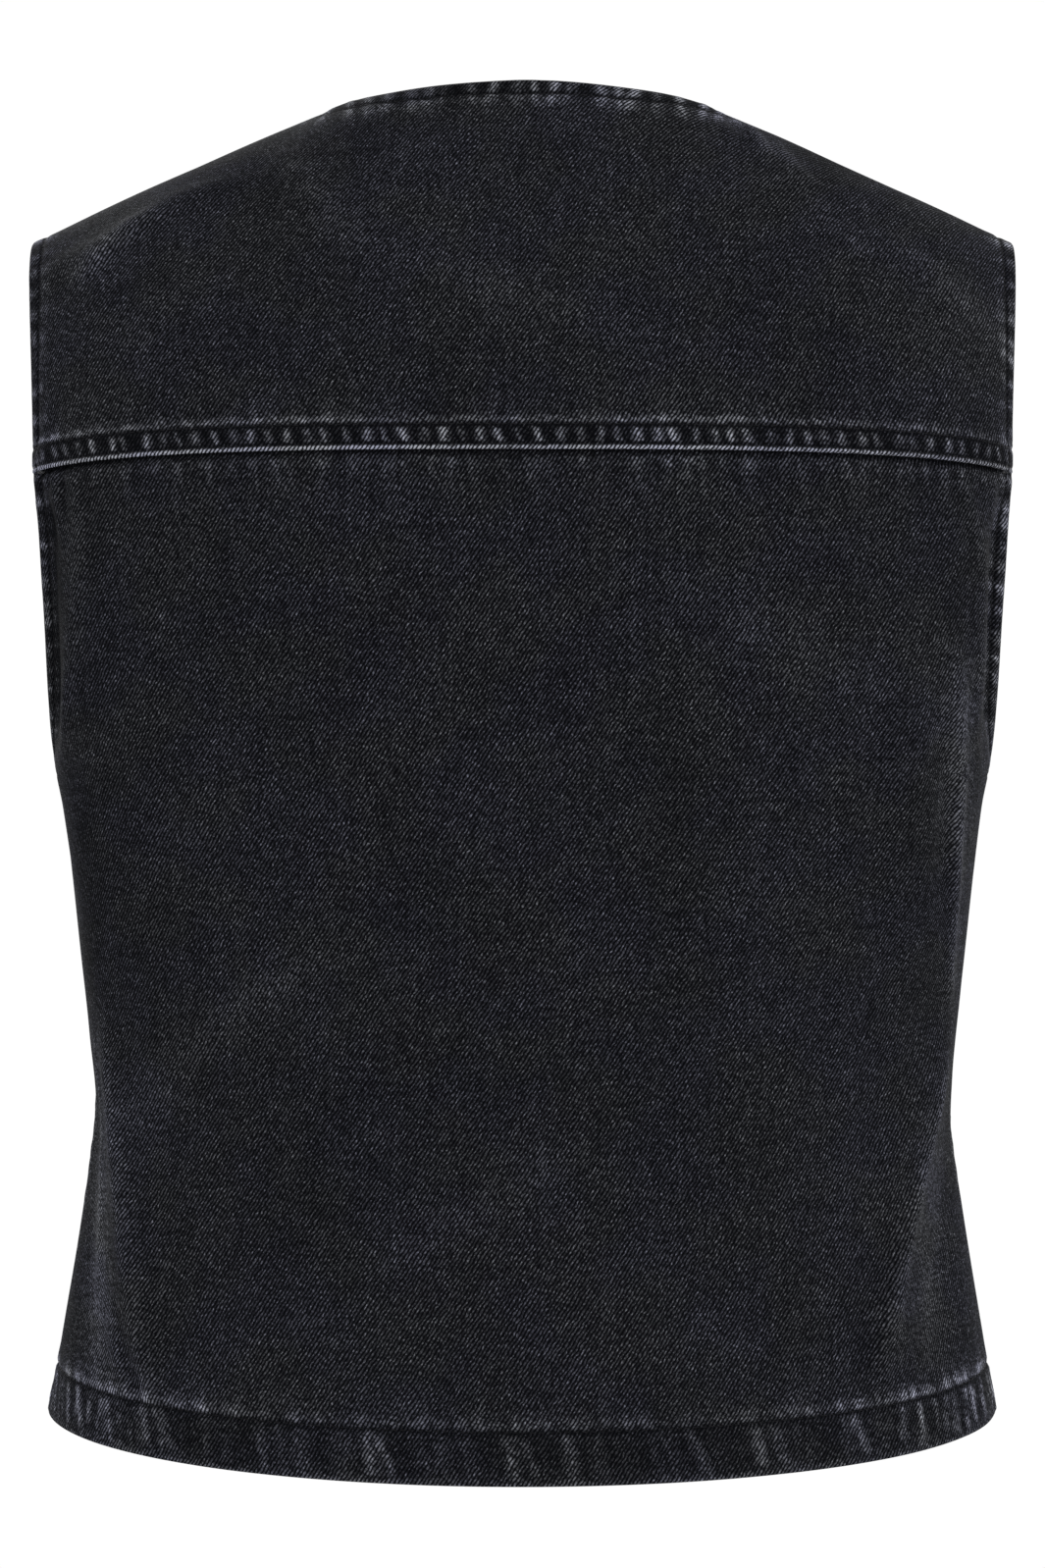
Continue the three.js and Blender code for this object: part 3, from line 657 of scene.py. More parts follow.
def yoke_fold_relief(from_fold, run, seed):
    """The same above the yoke's folded lower edge, with its two rows of topstitching."""
    beads = puckers(run, seed, 7.3, 0.23, -0.15, from_fold, 0.14, 0.45)
    flecks = puckers(run, seed + 1, 7.3, 0.3, -0.3, from_fold)
    drips = puckers(run, seed + 2, 9, 0.2, 0.1, from_fold)
    low, high = YOKE_ROWS
    between = stretch(from_fold, low + 0.3, low + 1.8, high - 2.2, high - 0.6)
    band = stretch(from_fold, low, low + 0.6, high - 0.4, high + 0.2)
    above = stretch(from_fold, high + 0.3, high + 1.1, high + 2, high + 4.5)
    far = stretch(from_fold, high + 0.5, high + 2, high + 4, high + 17)
    lift = YOKE_LIFT * (1 - smooth(from_fold, high - 0.3, high + 3.5))
    lift = lift + 0.45 * between * (beads - 0.25) + 0.25 * far * (drips - 0.2)
    lift = lift - 0.25 * bump(from_fold, low, 0.5) - 0.5 * bump(from_fold, high, 0.7)
    worn = 1.4 * (1 - smooth(from_fold, 1.1, 1.7)) + 1.35 * between * beads + above * (0.3 + 0.6 * flecks)
    worn = (worn + 0.22 * far * drips) * mix(1, 0.6, smooth(-run, 30, 180))
    # Darker between the two stitch rows except on the beads, along both stitch grooves and between the drips
    # above: unfaded dye, with painted shade in these hollows.
    dye_and_shade = 0.95 * band * (1 - beads * between) + 0.95 * bump(from_fold, high, 0.7)
    dye_and_shade = dye_and_shade + 0.7 * bump(from_fold, low, 0.4)
    return lift, worn, dye_and_shade + 0.2 * far * (1 - drips)


def side_relief(from_edge, height, along, seed):
    """Along the outer edge of a panel: a side seam below the underarm, and an armhole edge above it."""
    above = smooth(height, UNDERARM - 1, UNDERARM + 5)
    armhole = edge_relief(from_edge, along, seed)
    seam = seam_relief(from_edge, along, seed + 5)
    return [mix(low, high, above) for low, high in zip(seam, armhole)]


def total(*reliefs):
    """Adds lifts, paleness and darkness, the latter two with their painted light and shade."""
    lift, worn, dye_and_shade = (sum(parts) for parts in zip(*reliefs))
    return lift, np.clip(worn, 0, 1.6), np.clip(dye_and_shade, 0, 1)


def lifted(points, base_frame, relief, extra, run, rise):
    """The grid of a panel whose face is lifted off the garment's surface."""
    right, up, out = base_frame
    lift, worn, dye_and_shade = relief
    face = points + out * (lift + extra)[..., None]
    return dict(points=face, right=right, up=up, out=out, run=run, rise=rise, worn=worn, dye_and_shade=dye_and_shade)


def respaced(sheet, near, far, step):
    """A finely sampled sheet with its rows set anew, at distances from the foot and top of each column.

    The first three values of each place are its point, and the others are carried along.
    """
    climbed = np.cumsum(np.linalg.norm(np.diff(sheet[..., :3], axis=0), axis=-1), axis=0)
    climbed = np.concatenate([np.zeros((1, sheet.shape[1])), climbed])
    count = round((climbed[-1].max() - near[-1] - far[-1]) / step)
    columns = []
    for column, lengths in zip(sheet.transpose(1, 2, 0), climbed.T):
        middle = np.linspace(near[-1], lengths[-1] - far[-1], count + 1)
        lines = np.concatenate([near[:-1], middle, lengths[-1] - np.array(far[:-1])[::-1]])
        columns.append([np.interp(lines, lengths, values) for values in column])
    return np.array(columns).transpose(2, 0, 1)


def back_columns(reach, step_count):
    """Runs of the columns over a whole row, from the wearer's right edge to the left one."""
    stops = np.array(SIDE_STOPS)
    outer = reach[:, None] - stops
    inner = mix(0, reach[:, None] - stops[-1], np.linspace(0, 1, step_count + 1)[1:-1])
    half = np.concatenate([inner, outer[:, ::-1]], axis=1)
    return np.concatenate([-half[:, ::-1], np.zeros((len(reach), 1)), half], axis=1)


def covered(stops, turn):
    """How many of the grid lines near an edge a turn covers."""
    return int(np.searchsorted(stops, turn))


SIDE_TURNS = (covered(SIDE_STOPS, EDGE_TURN),) * 2
HEM_LINES = covered(HEM_STOPS, HEM_TURN)
YOKE_LINES = covered(YOKE_STOPS, YOKE_LAP)


def back_panel():
    lines = grid_lines(HEM_STOPS, UNDER_YOKE_STOPS, YOKE_SEAM, GRID_STEP)
    tongue = 1 + np.array([2.5, 5, YOKE_LAP]) / YOKE_RISE
    ups = np.concatenate([lines / YOKE_SEAM, tongue])
    reach = section_arcs("back", np.minimum(ups, 1))[3][:, -1]
    runs = back_columns(reach, round((reach.max() - SIDE_STOPS[-1]) / GRID_STEP))
    points = back_points(ups, runs)
    base = frame_of(points, -1)
    rise = pattern_heights(points, runs)
    height = points[..., 2]
    from_hem = np.broadcast_to(ups[:, None] * YOKE_SEAM, runs.shape)
    from_side = reach[:, None] - np.abs(runs)
    under = YOKE_SEAM - from_hem
    tucks = puckers(runs, 41, 7.5, 0.22, 0.1, under)
    outer = smooth(np.abs(runs), 130, 195)
    deep_tucks = puckers(runs, 43, 15, 0.26, 0.3, under) * (0.25 + 0.75 * outer) * smooth(from_side, 3, 14)
    near_yoke = stretch(under, 1.5, 4, 5, 24)
    far_yoke = stretch(under, 3, 10, 16, 46)
    # Tucks below the yoke seam. The cloth just under the yoke's folded edge is painted darker as its shadow,
    # and the cloth between the tucks as shade.
    yoke_side = (
        0.3 * near_yoke * (tucks - 0.25) + 1.1 * far_yoke * (deep_tucks - 0.2 * outer),
        0.28 * bump(under, 4.6, 2) * (0.25 + tucks) + 0.2 * near_yoke * tucks + 0.16 * far_yoke * deep_tucks,
        0.9 * (1 - smooth(under, 0.3, 2.4)) + 0.3 * near_yoke * (1 - tucks) * (1 - deep_tucks),
    )
    relief = total(
        hem_relief(from_hem, runs, 11),
        side_relief(from_side, height, height + OTHER_SIDE * (runs > 0), 21),
        yoke_side,
    )
    swell = swelling(points, 1, (0.5, 38), (0.7, 90))
    dip = -LAP_SINK * (1 - smooth(under, 0.6, 3.2)) * mix(0.15, 1, smooth(from_side, 0, 9))
    trough = bump(from_side, 11, 4.5) * smooth(height, UNDERARM + 4, UNDERARM + 26) * smooth(under, 6, 26)
    flare = np.where(runs < 0, 1.9 * bump(from_side, 8.5, 5), 1.0 * bump(from_side, 12, 8))
    flare = flare * smooth(height, UNDERARM, UNDERARM + 30) * smooth(under, 0, 26)
    relief = total(
        relief,
        # The trough inside each armhole is also painted darker, as shade.
        (mix(-1, -0.5, runs > 0) * trough - flare, 0 * trough, mix(0.1, 0.3, runs > 0) * trough),
        creases_and_painted_light(BACK_PAINTED_LIGHT_AND_SHADE, BACK_CREASES, runs, height),
    )
    folds = fold_lift(BACK_FOLDS, runs, height)
    extra = folds + dip + swell * smooth(under, 0, 14) * smooth(from_side, 0, 20)
    grid = lifted(points, base, relief, extra, -runs, rise)
    return grid, cloth_piece("cloth_back", grid, (*SIDE_TURNS, HEM_LINES, None), -1)


def back_yoke():
    across = back_columns(np.full(1, BACK_REACH), round((BACK_REACH - SIDE_STOPS[-1]) / YOKE_STEP))[0]
    neck_column = np.argmin(np.abs(across - NECK_SHARE * BACK_REACH))
    across[neck_column] = NECK_SHARE * BACK_REACH
    across[-1 - neck_column] = -NECK_SHARE * BACK_REACH
    fine = np.broadcast_to(across, (FINE_ROWS, len(across)))
    points = respaced(back_points(np.linspace(1, 2, FINE_ROWS), fine), YOKE_STOPS, SIDE_STOPS, GRID_STEP)
    runs = np.broadcast_to(across, points.shape[:2])
    base = frame_of(points, -1)
    rise = pattern_heights(points, runs)
    rise += YOKE_SEAM - points[0, :, 2]
    from_fold = rise - YOKE_SEAM + YOKE_STOPS[0]
    from_side = BACK_REACH - np.abs(runs)
    edge = back_points(np.array([2.0]), runs[:1])[0]
    from_neck = distance_to_line(points, edge[np.abs(runs[0]) <= NECK_SHARE * BACK_REACH + 1e-6])
    shoulder = smooth(np.abs(runs), NECK_SHARE * BACK_REACH, NECK_SHARE * BACK_REACH + 6)
    from_top = distance_to_line(points, edge[np.abs(runs[0]) >= NECK_SHARE * BACK_REACH - 1e-6])
    from_neck = from_neck / mix(1, 1.5, smooth(np.abs(runs), 15, 62))
    neck = edge_relief(from_neck, runs, 61, 8.6, NECK_ROW)
    neck_worn = neck[1] * mix(1.15, 1.6, smooth(np.abs(runs), 25, 60))
    # The whole neck band, which faces up to the lamps, is painted darker as shade, besides its groove.
    neck_dye_and_shade = neck[2] + 0.5 * (1 - smooth(from_neck, NECK_ROW, NECK_ROW + 1))
    neck = [neck[0] * (1 - shoulder), neck_worn, neck_dye_and_shade * (1 - shoulder)]
    seam = [part * shoulder for part in seam_relief(from_top, runs, 67)]
    relief = total(
        creases_and_painted_light(YOKE_PAINTED_LIGHT_AND_SHADE, YOKE_CREASES, runs, points[..., 2]),
        yoke_fold_relief(from_fold, runs, 51),
        edge_relief(from_side, points[..., 2] + OTHER_SIDE * (runs > 0), 71),
        neck,
        seam,
    )
    swell = swelling(points, 3, (0.35, 34), (0.5, 80))
    folds = fold_lift(YOKE_FOLDS, runs, points[..., 2])
    at_side = (1 - smooth(from_side, 0, 9)) * (1 - smooth(from_fold, 9, 14))
    extra = folds + swell * smooth(from_fold, 8, 30) * smooth(from_side, 0, 20) - 1.0 * at_side
    grid = lifted(points, base, relief, extra, -runs, rise)
    grid["from_neck"] = from_neck
    return grid, cloth_piece("cloth_yoke", grid, (*SIDE_TURNS, YOKE_LINES, SIDE_TURNS[1]), -1)


def distance_to_line(points, line):
    """The distance of each point to the nearest segment of a line, or of its two halves about the centre."""
    between_halves = 30
    best = np.full(points.shape[:-1], np.inf)
    for a, b in zip(line[:-1], line[1:]):
        if np.linalg.norm(b - a) > between_halves:
            continue
        share = np.clip(((points - a) @ (b - a)) / ((b - a) @ (b - a)), 0, 1)
        best = np.minimum(best, np.linalg.norm(points - a - share[..., None] * (b - a), axis=-1))
    return best


def front_panel(name, side):
    """side is 1 for the wearer's left front, which lies under, and -1 for the right one, which laps it."""
    body = grid_lines(HEM_STOPS, (0,), YOKE_SIDE, GRID_STEP)
    ups = np.concatenate([body / YOKE_SIDE, np.linspace(1, 2, FINE_ROWS)[1:]])
    row = np.minimum(ups, 1)
    reach = section_arcs("front", row)[3][:, -1]
    start = front_edge(mix(FRONT_HEM, YOKE_SIDE, row))
    top_width = math.dist(NECK_POINT, SHOULDER_POINT)
    over = np.maximum(ups - 1, 0)
    width = mix(reach - start, top_width, over)
    slant = mix(1, 1.1, smooth(row * YOKE_SIDE, V_POINT - 8, V_POINT + 8))[:, None]
    stops = np.array(SIDE_STOPS)
    count = round((width.max() - 2 * stops[-1]) / GRID_STEP)
    near = stops * slant
    far = width[:, None] - stops[::-1]
    middle = mix(near[:, -1:], far[:, :1], np.linspace(0, 1, count + 1)[1:-1])
    from_edge = np.concatenate([near, middle, far], axis=1)
    across = from_edge / width[:, None]
    points, runs = front_points(ups, across)
    edge_x = mix(start, NECK_POINT[0], over)[:, None]
    from_outer = width[:, None] - from_edge
    carried = (runs, edge_x + from_edge, from_edge / slant, from_outer, across * 0 + ups[:, None])
    sheet = np.concatenate([points, np.stack(carried, axis=-1)], axis=-1)
    shoulder = respaced(sheet[len(body) - 1 :], (0.0,), SIDE_STOPS, GRID_STEP)[1:]
    sheet = np.concatenate([sheet[: len(body)], shoulder])
    points = sheet[..., :3]
    runs, pattern_run, from_edge, from_side, ups = np.moveaxis(sheet[..., 3:], -1, 0)
    base = frame_of(points, -1)
    base = (base[0], base[1], -base[2])
    rise = pattern_heights(points, pattern_run)
    height = points[..., 2]
    from_hem = np.minimum(ups, 1) * (YOKE_SIDE - FRONT_HEM)
    seed = 100 if side > 0 else 200
    top = sheet[-1, :, :3]
    relief = total(
        hem_relief(from_hem, pattern_run, seed + 11),
        side_relief(from_side, height, height, seed + 21),
        edge_relief(from_edge, rise, seed + 31, 11),
        seam_relief(distance_to_line(points, top), pattern_run, seed + 41),
        creases_and_painted_light(FRONT_PAINTED_LIGHT_AND_SHADE, FRONT_CREASES[side], runs, height),
    )
    from_centre = np.abs(points[..., 0])
    lapped = (1 - smooth(from_centre, *LAP_WIDTH)) * (1 - smooth(height, *LAP_FADE))
    lap_lift = -UNDER_SINK if side > 0 else OVER_LIFT
    swell = swelling(points, seed + 5, (0.5, 38), (0.8, 90))
    calm = smooth(from_side, 0, 20) * (1 - lapped) * (1 - smooth(ups, 1.8, 2))
    extra = lap_lift * lapped + fold_lift(FRONT_FOLDS, runs, height) + swell * calm
    if side < 0:
        points = points * np.array([-1, 1, 1])
        base = [vector * np.array([-1, 1, 1]) for vector in base]
    grid = lifted(points, base, relief, extra, pattern_run * side, rise)
    return grid, cloth_piece(name, grid, (*SIDE_TURNS, HEM_LINES, SIDE_TURNS[1]), side)


def crossing(grid, field, value):
    """The place in each column of a grid where a field of it reaches a value, with its out vector."""
    found = []
    for line in range(field.shape[1]):
        signs = np.sign(field[:, line] - value)
        hits = np.nonzero(signs[:-1] * signs[1:] < 0)[0]
        if len(hits):
            k = hits[0]
            share = (value - field[k, line]) / (field[k + 1, line] - field[k, line])
            both = [mix(grid[key][k, line], grid[key][k + 1, line], share) for key in ("points", "out")]
            found.append(np.concatenate(both))
    return np.array(found)


def row_path(grid, line):
    return np.concatenate([grid["points"][line], grid["out"][line]], axis=-1)


def column_path(grid, line, rows=slice(None)):
    return np.concatenate([grid["points"][rows, line], grid["out"][rows, line]], axis=-1)


def stitches_along(path):
    """Sewing along a path on the cloth's face: one slim stitch after another, with its ends in the cloth."""
    points, out = path[:, :3], path[:, 3:]
    pitch = STITCH["pitch"]
    lengths = np.concatenate([[0], np.cumsum(np.linalg.norm(np.diff(points, axis=0), axis=1))])
    for at in np.arange(pitch / 2, lengths[-1], pitch):
        ends = [[np.interp(at + reach, lengths, points[:, k]) for k in range(3)] for reach in (-1, 1)]
        place = Vector([np.interp(at, lengths, points[:, k]) for k in range(3)])
        normal = Vector([np.interp(at, lengths, out[:, k]) for k in range(3)]).normalized()
        direction = Vector(ends[1]) - Vector(ends[0])
        yield place - normal * STITCH["sink"], direction, normal, STITCH["length"], STITCH["radius"]


def add_thread(bm, place, direction, normal, length, radius):
    """One stitch: a slim ellipsoid along a direction."""
    along = direction.normalized()
    side = normal.cross(along).normalized()
    turn = Matrix((side, normal, along)).transposed().to_4x4()
    scale = Matrix.Diagonal((radius * MM, radius * MM, length / 2 * MM, 1))
    spot = Matrix.Translation(Vector(to_frame(np.array(place))))
    bmesh.ops.create_uvsphere(bm, u_segments=6, v_segments=5, radius=1, matrix=spot @ turn @ scale)


def thread_piece(name, threads):
    """One piece of all the given threads, built in small lots, which is quicker than in one large mesh."""
    threads = list(threads)
    lot = 30
    whole = bmesh.new()
    for start in range(0, len(threads), lot):
        part = bmesh.new()
        for one in threads[start : start + lot]:
            add_thread(part, *one)
        mesh = bpy.data.meshes.new("lot")
        part.to_mesh(mesh)
        part.free()
        whole.from_mesh(mesh)
        bpy.data.meshes.remove(mesh)
    return finish_mesh(name, whole)


def button_frame(number):
    """Where a button's shank meets the garment's surface, and the direction out of the cloth there."""
    height = mix(BUTTONS["top"], BUTTONS["bottom"], number / (BUTTONS["count"] - 1))
    up = (height - FRONT_HEM) / (YOKE_SIDE - FRONT_HEM)
    ups = np.array([up - 0.001, up, up + 0.001])
    reach = section_arcs("front", ups)[3][:, -1]
    start = front_edge(mix(FRONT_HEM, YOKE_SIDE, ups))
    centre = (-start / (reach - start))[:, None]
    points = front_points(ups, centre)[0][:, 0]
    climb = Vector(points[2] - points[0])
    out = Vector((1, 0, 0)).cross(climb).normalized()
    place = Vector((0, points[1][1], points[1][2]))
    return place, out


def button_piece(number):
    """A tack button: a rolled rim, a ribbed ring and a low dome."""
    place, out = button_frame(number)
    seat = OVER_LIFT + SEAM_GAP
    radius = BUTTONS["radius"]
    profile = [
        (0.01, SEAM_GAP - UNDER_SINK),
        (2.2, SEAM_GAP - UNDER_SINK),
        (2.2, seat),
        (radius - 0.9, seat),
        (radius - 0.25, seat + 0.25),
        (radius, seat + 0.75),
        (radius, seat + 1.35),
        (radius - 0.25, seat + 1.85),
        (radius - 0.8, seat + 2.1),
        (radius - 1.3, seat + 1.95),
        (radius - 1.6, seat + 1.5),
        (radius - 2.1, seat + 1.45),
        (radius - 3.0, seat + 1.6),
        (radius - 3.7, seat + 1.55),
        (radius - 4.0, seat + 1.9),
        (radius - 4.6, seat + 2.25),
        (radius - 6.2, seat + 2.5),
        (0.01, seat + 2.6),
    ]
    steps, ribs, rib_height = 96, 24, 0.16
    bm = bmesh.new()
    verts = [bm.verts.new((r, 0, h)) for r, h in profile]
    edges = [bm.edges.new(pair) for pair in zip(verts[:-1], verts[1:])]
    whole_turn = {"cent": (0, 0, 0), "axis": (0, 0, 1), "angle": math.tau}
    bmesh.ops.spin(bm, geom=verts + edges, steps=steps, use_merge=True, **whole_turn)
    bmesh.ops.remove_doubles(bm, verts=bm.verts, dist=0.02)
    for vert in bm.verts:
        from_axis = math.hypot(vert.co.x, vert.co.y)
        if radius - 3.2 < from_axis < radius - 1.9 and vert.co.z > seat + 1:
            vert.co.z += rib_height * math.cos(ribs * math.atan2(vert.co.y, vert.co.x))
    bmesh.ops.recalc_face_normals(bm, faces=bm.faces)
    turn = Vector((0, 0, 1)).rotation_difference(out).to_matrix().to_4x4()
    spot = Matrix.Translation(Vector(to_frame(np.array(place))))
    bmesh.ops.transform(bm, matrix=spot @ turn @ Matrix.Scale(MM, 4), verts=bm.verts)
    return finish_mesh(f"tack_button_{number + 1}", bm)


def buttonhole_threads(number):
    """Keyhole buttonhole: thread laid round the eyelet and along both sides of the slit."""
    place, out = button_frame(number)
    up = Vector((1, 0, 0)).cross(-out).normalized()
    right = Vector((1, 0, 0))
    face = place + out * (OVER_LIFT + 0.1)
    eyelet, slit, pitch, radius = 2.8, 17, 0.5, 0.25
    rays, first, sweep = 22, -155, 310
    for step in range(rays):
        angle = math.radians(first + step * sweep / (rays - 1))
        ray = right * math.cos(angle) + up * math.sin(angle)
        yield face + ray * (eyelet + 1.0), ray, out, 2.4, radius
    for step in range(int((slit - eyelet) / pitch)):
        spot = face - right * (eyelet + step * pitch)
        for sign in (1, -1):
            yield spot + up * sign * 1.35, up, out, 2.0, radius
    for step in (-1, -0.5, 0, 0.5, 1):
        yield face - right * (slit + 0.4) + up * step, right, out, 1.6, radius


def shader_node(tree, kind, inputs=None, **settings):
    """A node with its settings and inputs. An input is a value, or the socket that feeds it."""
    made = tree.nodes.new("ShaderNode" + kind)
    for key, value in settings.items():
        setattr(made, key, value)
    for key, value in (inputs or {}).items():
        if isinstance(value, bpy.types.NodeSocket):
            tree.links.new(value, made.inputs[key])
        else:
            made.inputs[key].default_value = value
    return made


def calc(tree, operation, *values):
    return shader_node(tree, "Math", dict(enumerate(values)), operation=operation).outputs[0]


def noise_at(tree, vector, scale, detail=2.0, roughness=0.5):
    sockets = {"Vector": vector, "Scale": scale, "Detail": detail, "Roughness": roughness}
    return shader_node(tree, "TexNoise", sockets).outputs["Fac"]


def ramp(tree, factor, *stops):
    """A colour for a factor, between stops that are each a position and a colour."""
    made = shader_node(tree, "ValToRGB", {"Fac": factor})
    for element, (position, colour) in zip(made.color_ramp.elements, stops):
        element.position = position
        element.color = (*colour, 1)
    return made.outputs[0]


def combine(tree, x, y, z=0.0):
    return shader_node(tree, "CombineXYZ", {"X": x, "Y": y, "Z": z}).outputs[0]


def ranged(tree, value, low, high, to_low=0.0, to_high=1.0, smooth_step=True):
    kind = "SMOOTHSTEP" if smooth_step else "LINEAR"
    sockets = {"Value": value, "From Min": low, "From Max": high, "To Min": to_low, "To Max": to_high}
    return shader_node(tree, "MapRange", sockets, interpolation_type=kind).outputs[0]


def new_group(name, inputs, outputs):
    """A shader node group with named sockets, and its tree, input node and output node."""
    group = bpy.data.node_groups.new(name, "ShaderNodeTree")
    for socket, kind in inputs.items():
        group.interface.new_socket(socket, in_out="INPUT", socket_type="NodeSocket" + kind)
    for socket, kind in outputs.items():
        group.interface.new_socket(socket, in_out="OUTPUT", socket_type="NodeSocket" + kind)
    return group, group.nodes.new("NodeGroupInput"), group.nodes.new("NodeGroupOutput")


def twill_group():
    """Three-up, one-down twill in pattern metres: how much pale fibre shows, and the height of the yarns.

    Each diagonal line has its own streaks. Wear and painted light show more of them, and unfaded dye and
    painted shade, as down in a groove, show fewer.
    """
    group, given, result = new_group(
        "twill",
        {"Pattern": "Vector", "Wear_and_light": "Float", "Dye_and_shade": "Float"},
        {"Fibre": "Float", "Height": "Float"},
    )
    pattern = given.outputs["Pattern"]
    parts = shader_node(group, "SeparateXYZ", {"Vector": pattern}).outputs
    ends = calc(group, "MULTIPLY", parts["X"], ENDS_PER_MM / MM)
    picks = calc(group, "MULTIPLY", parts["Y"], PICKS_PER_MM / MM)
    waver_scale, waver_size, ridge_power, line_change = 260, 0.95, 1.5, 5.37
    centred = calc(group, "SUBTRACT", noise_at(group, pattern, waver_scale, 2), 0.5)
    waver = calc(group, "MULTIPLY", centred, waver_size)
    line = calc(group, "ADD", calc(group, "MULTIPLY", calc(group, "SUBTRACT", ends, picks), 0.25), waver)
    cosine = calc(group, "COSINE", calc(group, "MULTIPLY", line, math.tau))
    ridge = calc(group, "POWER", calc(group, "MULTIPLY_ADD", cosine, 0.5, 0.5), ridge_power)
    own = calc(group, "MULTIPLY", calc(group, "ROUND", line), line_change)
    steep = math.atan2(ENDS_PER_MM, PICKS_PER_MM)
    along_x = calc(group, "MULTIPLY", parts["X"], math.cos(steep) / MM)
    along = calc(group, "MULTIPLY_ADD", parts["Y"], math.sin(steep) / MM, along_x)
    streaks = noise_at(group, combine(group, own, calc(group, "MULTIPLY", along, 0.7)), 1, 3, 0.65)
    slim = combine(group, calc(group, "MULTIPLY", line, 3.4), calc(group, "MULTIPLY", along, 0.75), 4.0)
    flecks = ranged(group, noise_at(group, slim, 1, 1), 0.56, 0.74)
    low = calc(group, "MULTIPLY_ADD", given.outputs["Wear_and_light"], -0.14, 0.42)
    high = calc(group, "MULTIPLY_ADD", given.outputs["Wear_and_light"], -0.1, 0.74)
    streak = ranged(group, streaks, low, high)
    plain_streak, plain_fleck, plain_base = 0.13, 0.4, 0.033
    worn_streak, worn_base = 0.95, 0.07
    quiet = calc(group, "MULTIPLY_ADD", flecks, plain_fleck, plain_base)
    plain = calc(group, "MULTIPLY_ADD", streak, plain_streak, quiet)
    wear_and_light_fibre = calc(group, "MULTIPLY_ADD", streak, worn_streak, worn_base)
    extra = calc(group, "MULTIPLY", given.outputs["Wear_and_light"], wear_and_light_fibre)
    fibre = calc(group, "MULTIPLY", calc(group, "ADD", plain, extra), ridge)
    # Unfaded dye and painted shade take pale fibre away.
    fibre = calc(group, "MULTIPLY", fibre, calc(group, "MULTIPLY_ADD", given.outputs["Dye_and_shade"], -0.75, 1))
    height = calc(group, "MULTIPLY_ADD", ridge, 0.7, calc(group, "MULTIPLY", streak, 0.3))
    group.links.new(fibre, result.inputs["Fibre"])
    group.links.new(height, result.inputs["Height"])
    return group


def wash_group():
    """The uneven fading of a garment wash, and of thick and thin yarns both ways, as a factor about 1.

    Blue is where more of the blue in the black dye has stayed.
    """
    group, given, result = new_group("wash", {"Pattern": "Vector"}, {"Fade": "Float", "Blue": "Float"})
    pattern = given.outputs["Pattern"]
    wide = noise_at(group, pattern, 14, 3, 0.65)
    parts = shader_node(group, "SeparateXYZ", {"Vector": pattern}).outputs
    fine, coarse = 420, 38
    yarn_share, crinkle_share, wide_share = 0.3, 0.14, 0.26
    across = [calc(group, "MULTIPLY", parts["X"], scale) for scale in (fine, coarse)]
    upward = [calc(group, "MULTIPLY", parts["Y"], scale) for scale in (coarse, fine)]
    warp = noise_at(group, combine(group, across[0], upward[0]), 1, 2, 0.7)
    weft = noise_at(group, combine(group, across[1], upward[1], 9.0), 1, 2, 0.7)
    yarns = calc(group, "ADD", *(calc(group, "MULTIPLY", way, yarn_share) for way in (warp, weft)))
    crinkles = calc(group, "MULTIPLY_ADD", noise_at(group, pattern, 110, 2, 0.6), crinkle_share, yarns)
    both = calc(group, "MULTIPLY_ADD", wide, wide_share, crinkles)
    group.links.new(ranged(group, both, 0.4, 0.6, 0.64, 1.36, False), result.inputs["Fade"])
    group.links.new(ranged(group, noise_at(group, pattern, 26, 2), 0.38, 0.62), result.inputs["Blue"])
    return group


def use_group(tree, group, inputs):
    made = tree.nodes.new("ShaderNodeGroup")
    made.node_tree = group
    for key, value in inputs.items():
        tree.links.new(value, made.inputs[key])
    return made.outputs


def new_material(name, sockets):
    """A material with its tree and its Principled shader, whose even sockets are set here."""
    material = bpy.data.materials.new(name)
    material.use_nodes = True
    tree = material.node_tree
    shader = tree.nodes["Principled BSDF"]
    for key, value in sockets.items():
        shader.inputs[key].default_value = value
    return material, tree, shader


def denim(name, dye, fibre, blue_fibre, groups):
    """Washed denim: black dye with pale abraded fibres on the raised yarns, paler on folded edges and
    puckers, and paler and darker where the masks paint light and shade.
    """
    material, tree, shader = new_material(
        name,
        {"Roughness": 0.9, "Specular IOR Level": 0.01, "Sheen Weight": 0.004, "Sheen Roughness": 0.5},
    )
    pattern = shader_node(tree, "UVMap", uv_map="pattern").outputs[0]
    worn = shader_node(tree, "Attribute", attribute_name="worn").outputs["Fac"]
    dye_and_shade = shader_node(tree, "Attribute", attribute_name="dye_and_shade").outputs["Fac"]
    weave = use_group(tree, groups["twill"], {"Pattern": pattern, "Wear_and_light": worn, "Dye_and_shade": dye_and_shade})
    wash = use_group(tree, groups["wash"], {"Pattern": pattern})
    blend = {"Fac": wash["Blue"], "Color1": (*fibre, 1), "Color2": (*blue_fibre, 1)}
    fibres = shader_node(tree, "MixRGB", blend).outputs[0]
    share = {0: weave["Fibre"], 1: wash["Fade"]}
    amount = shader_node(tree, "Math", share, operation="MULTIPLY", use_clamp=True).outputs[0]
    colour = shader_node(tree, "MixRGB", {"Fac": amount, "Color1": (*dye, 1), "Color2": fibres}).outputs[0]
    relief = shader_node(tree, "Bump", {"Strength": 0.6, "Distance": 0.0002, "Height": weave["Height"]})
    tree.links.new(colour, shader.inputs["Base Color"])
    tree.links.new(relief.outputs[0], shader.inputs["Normal"])
    return material


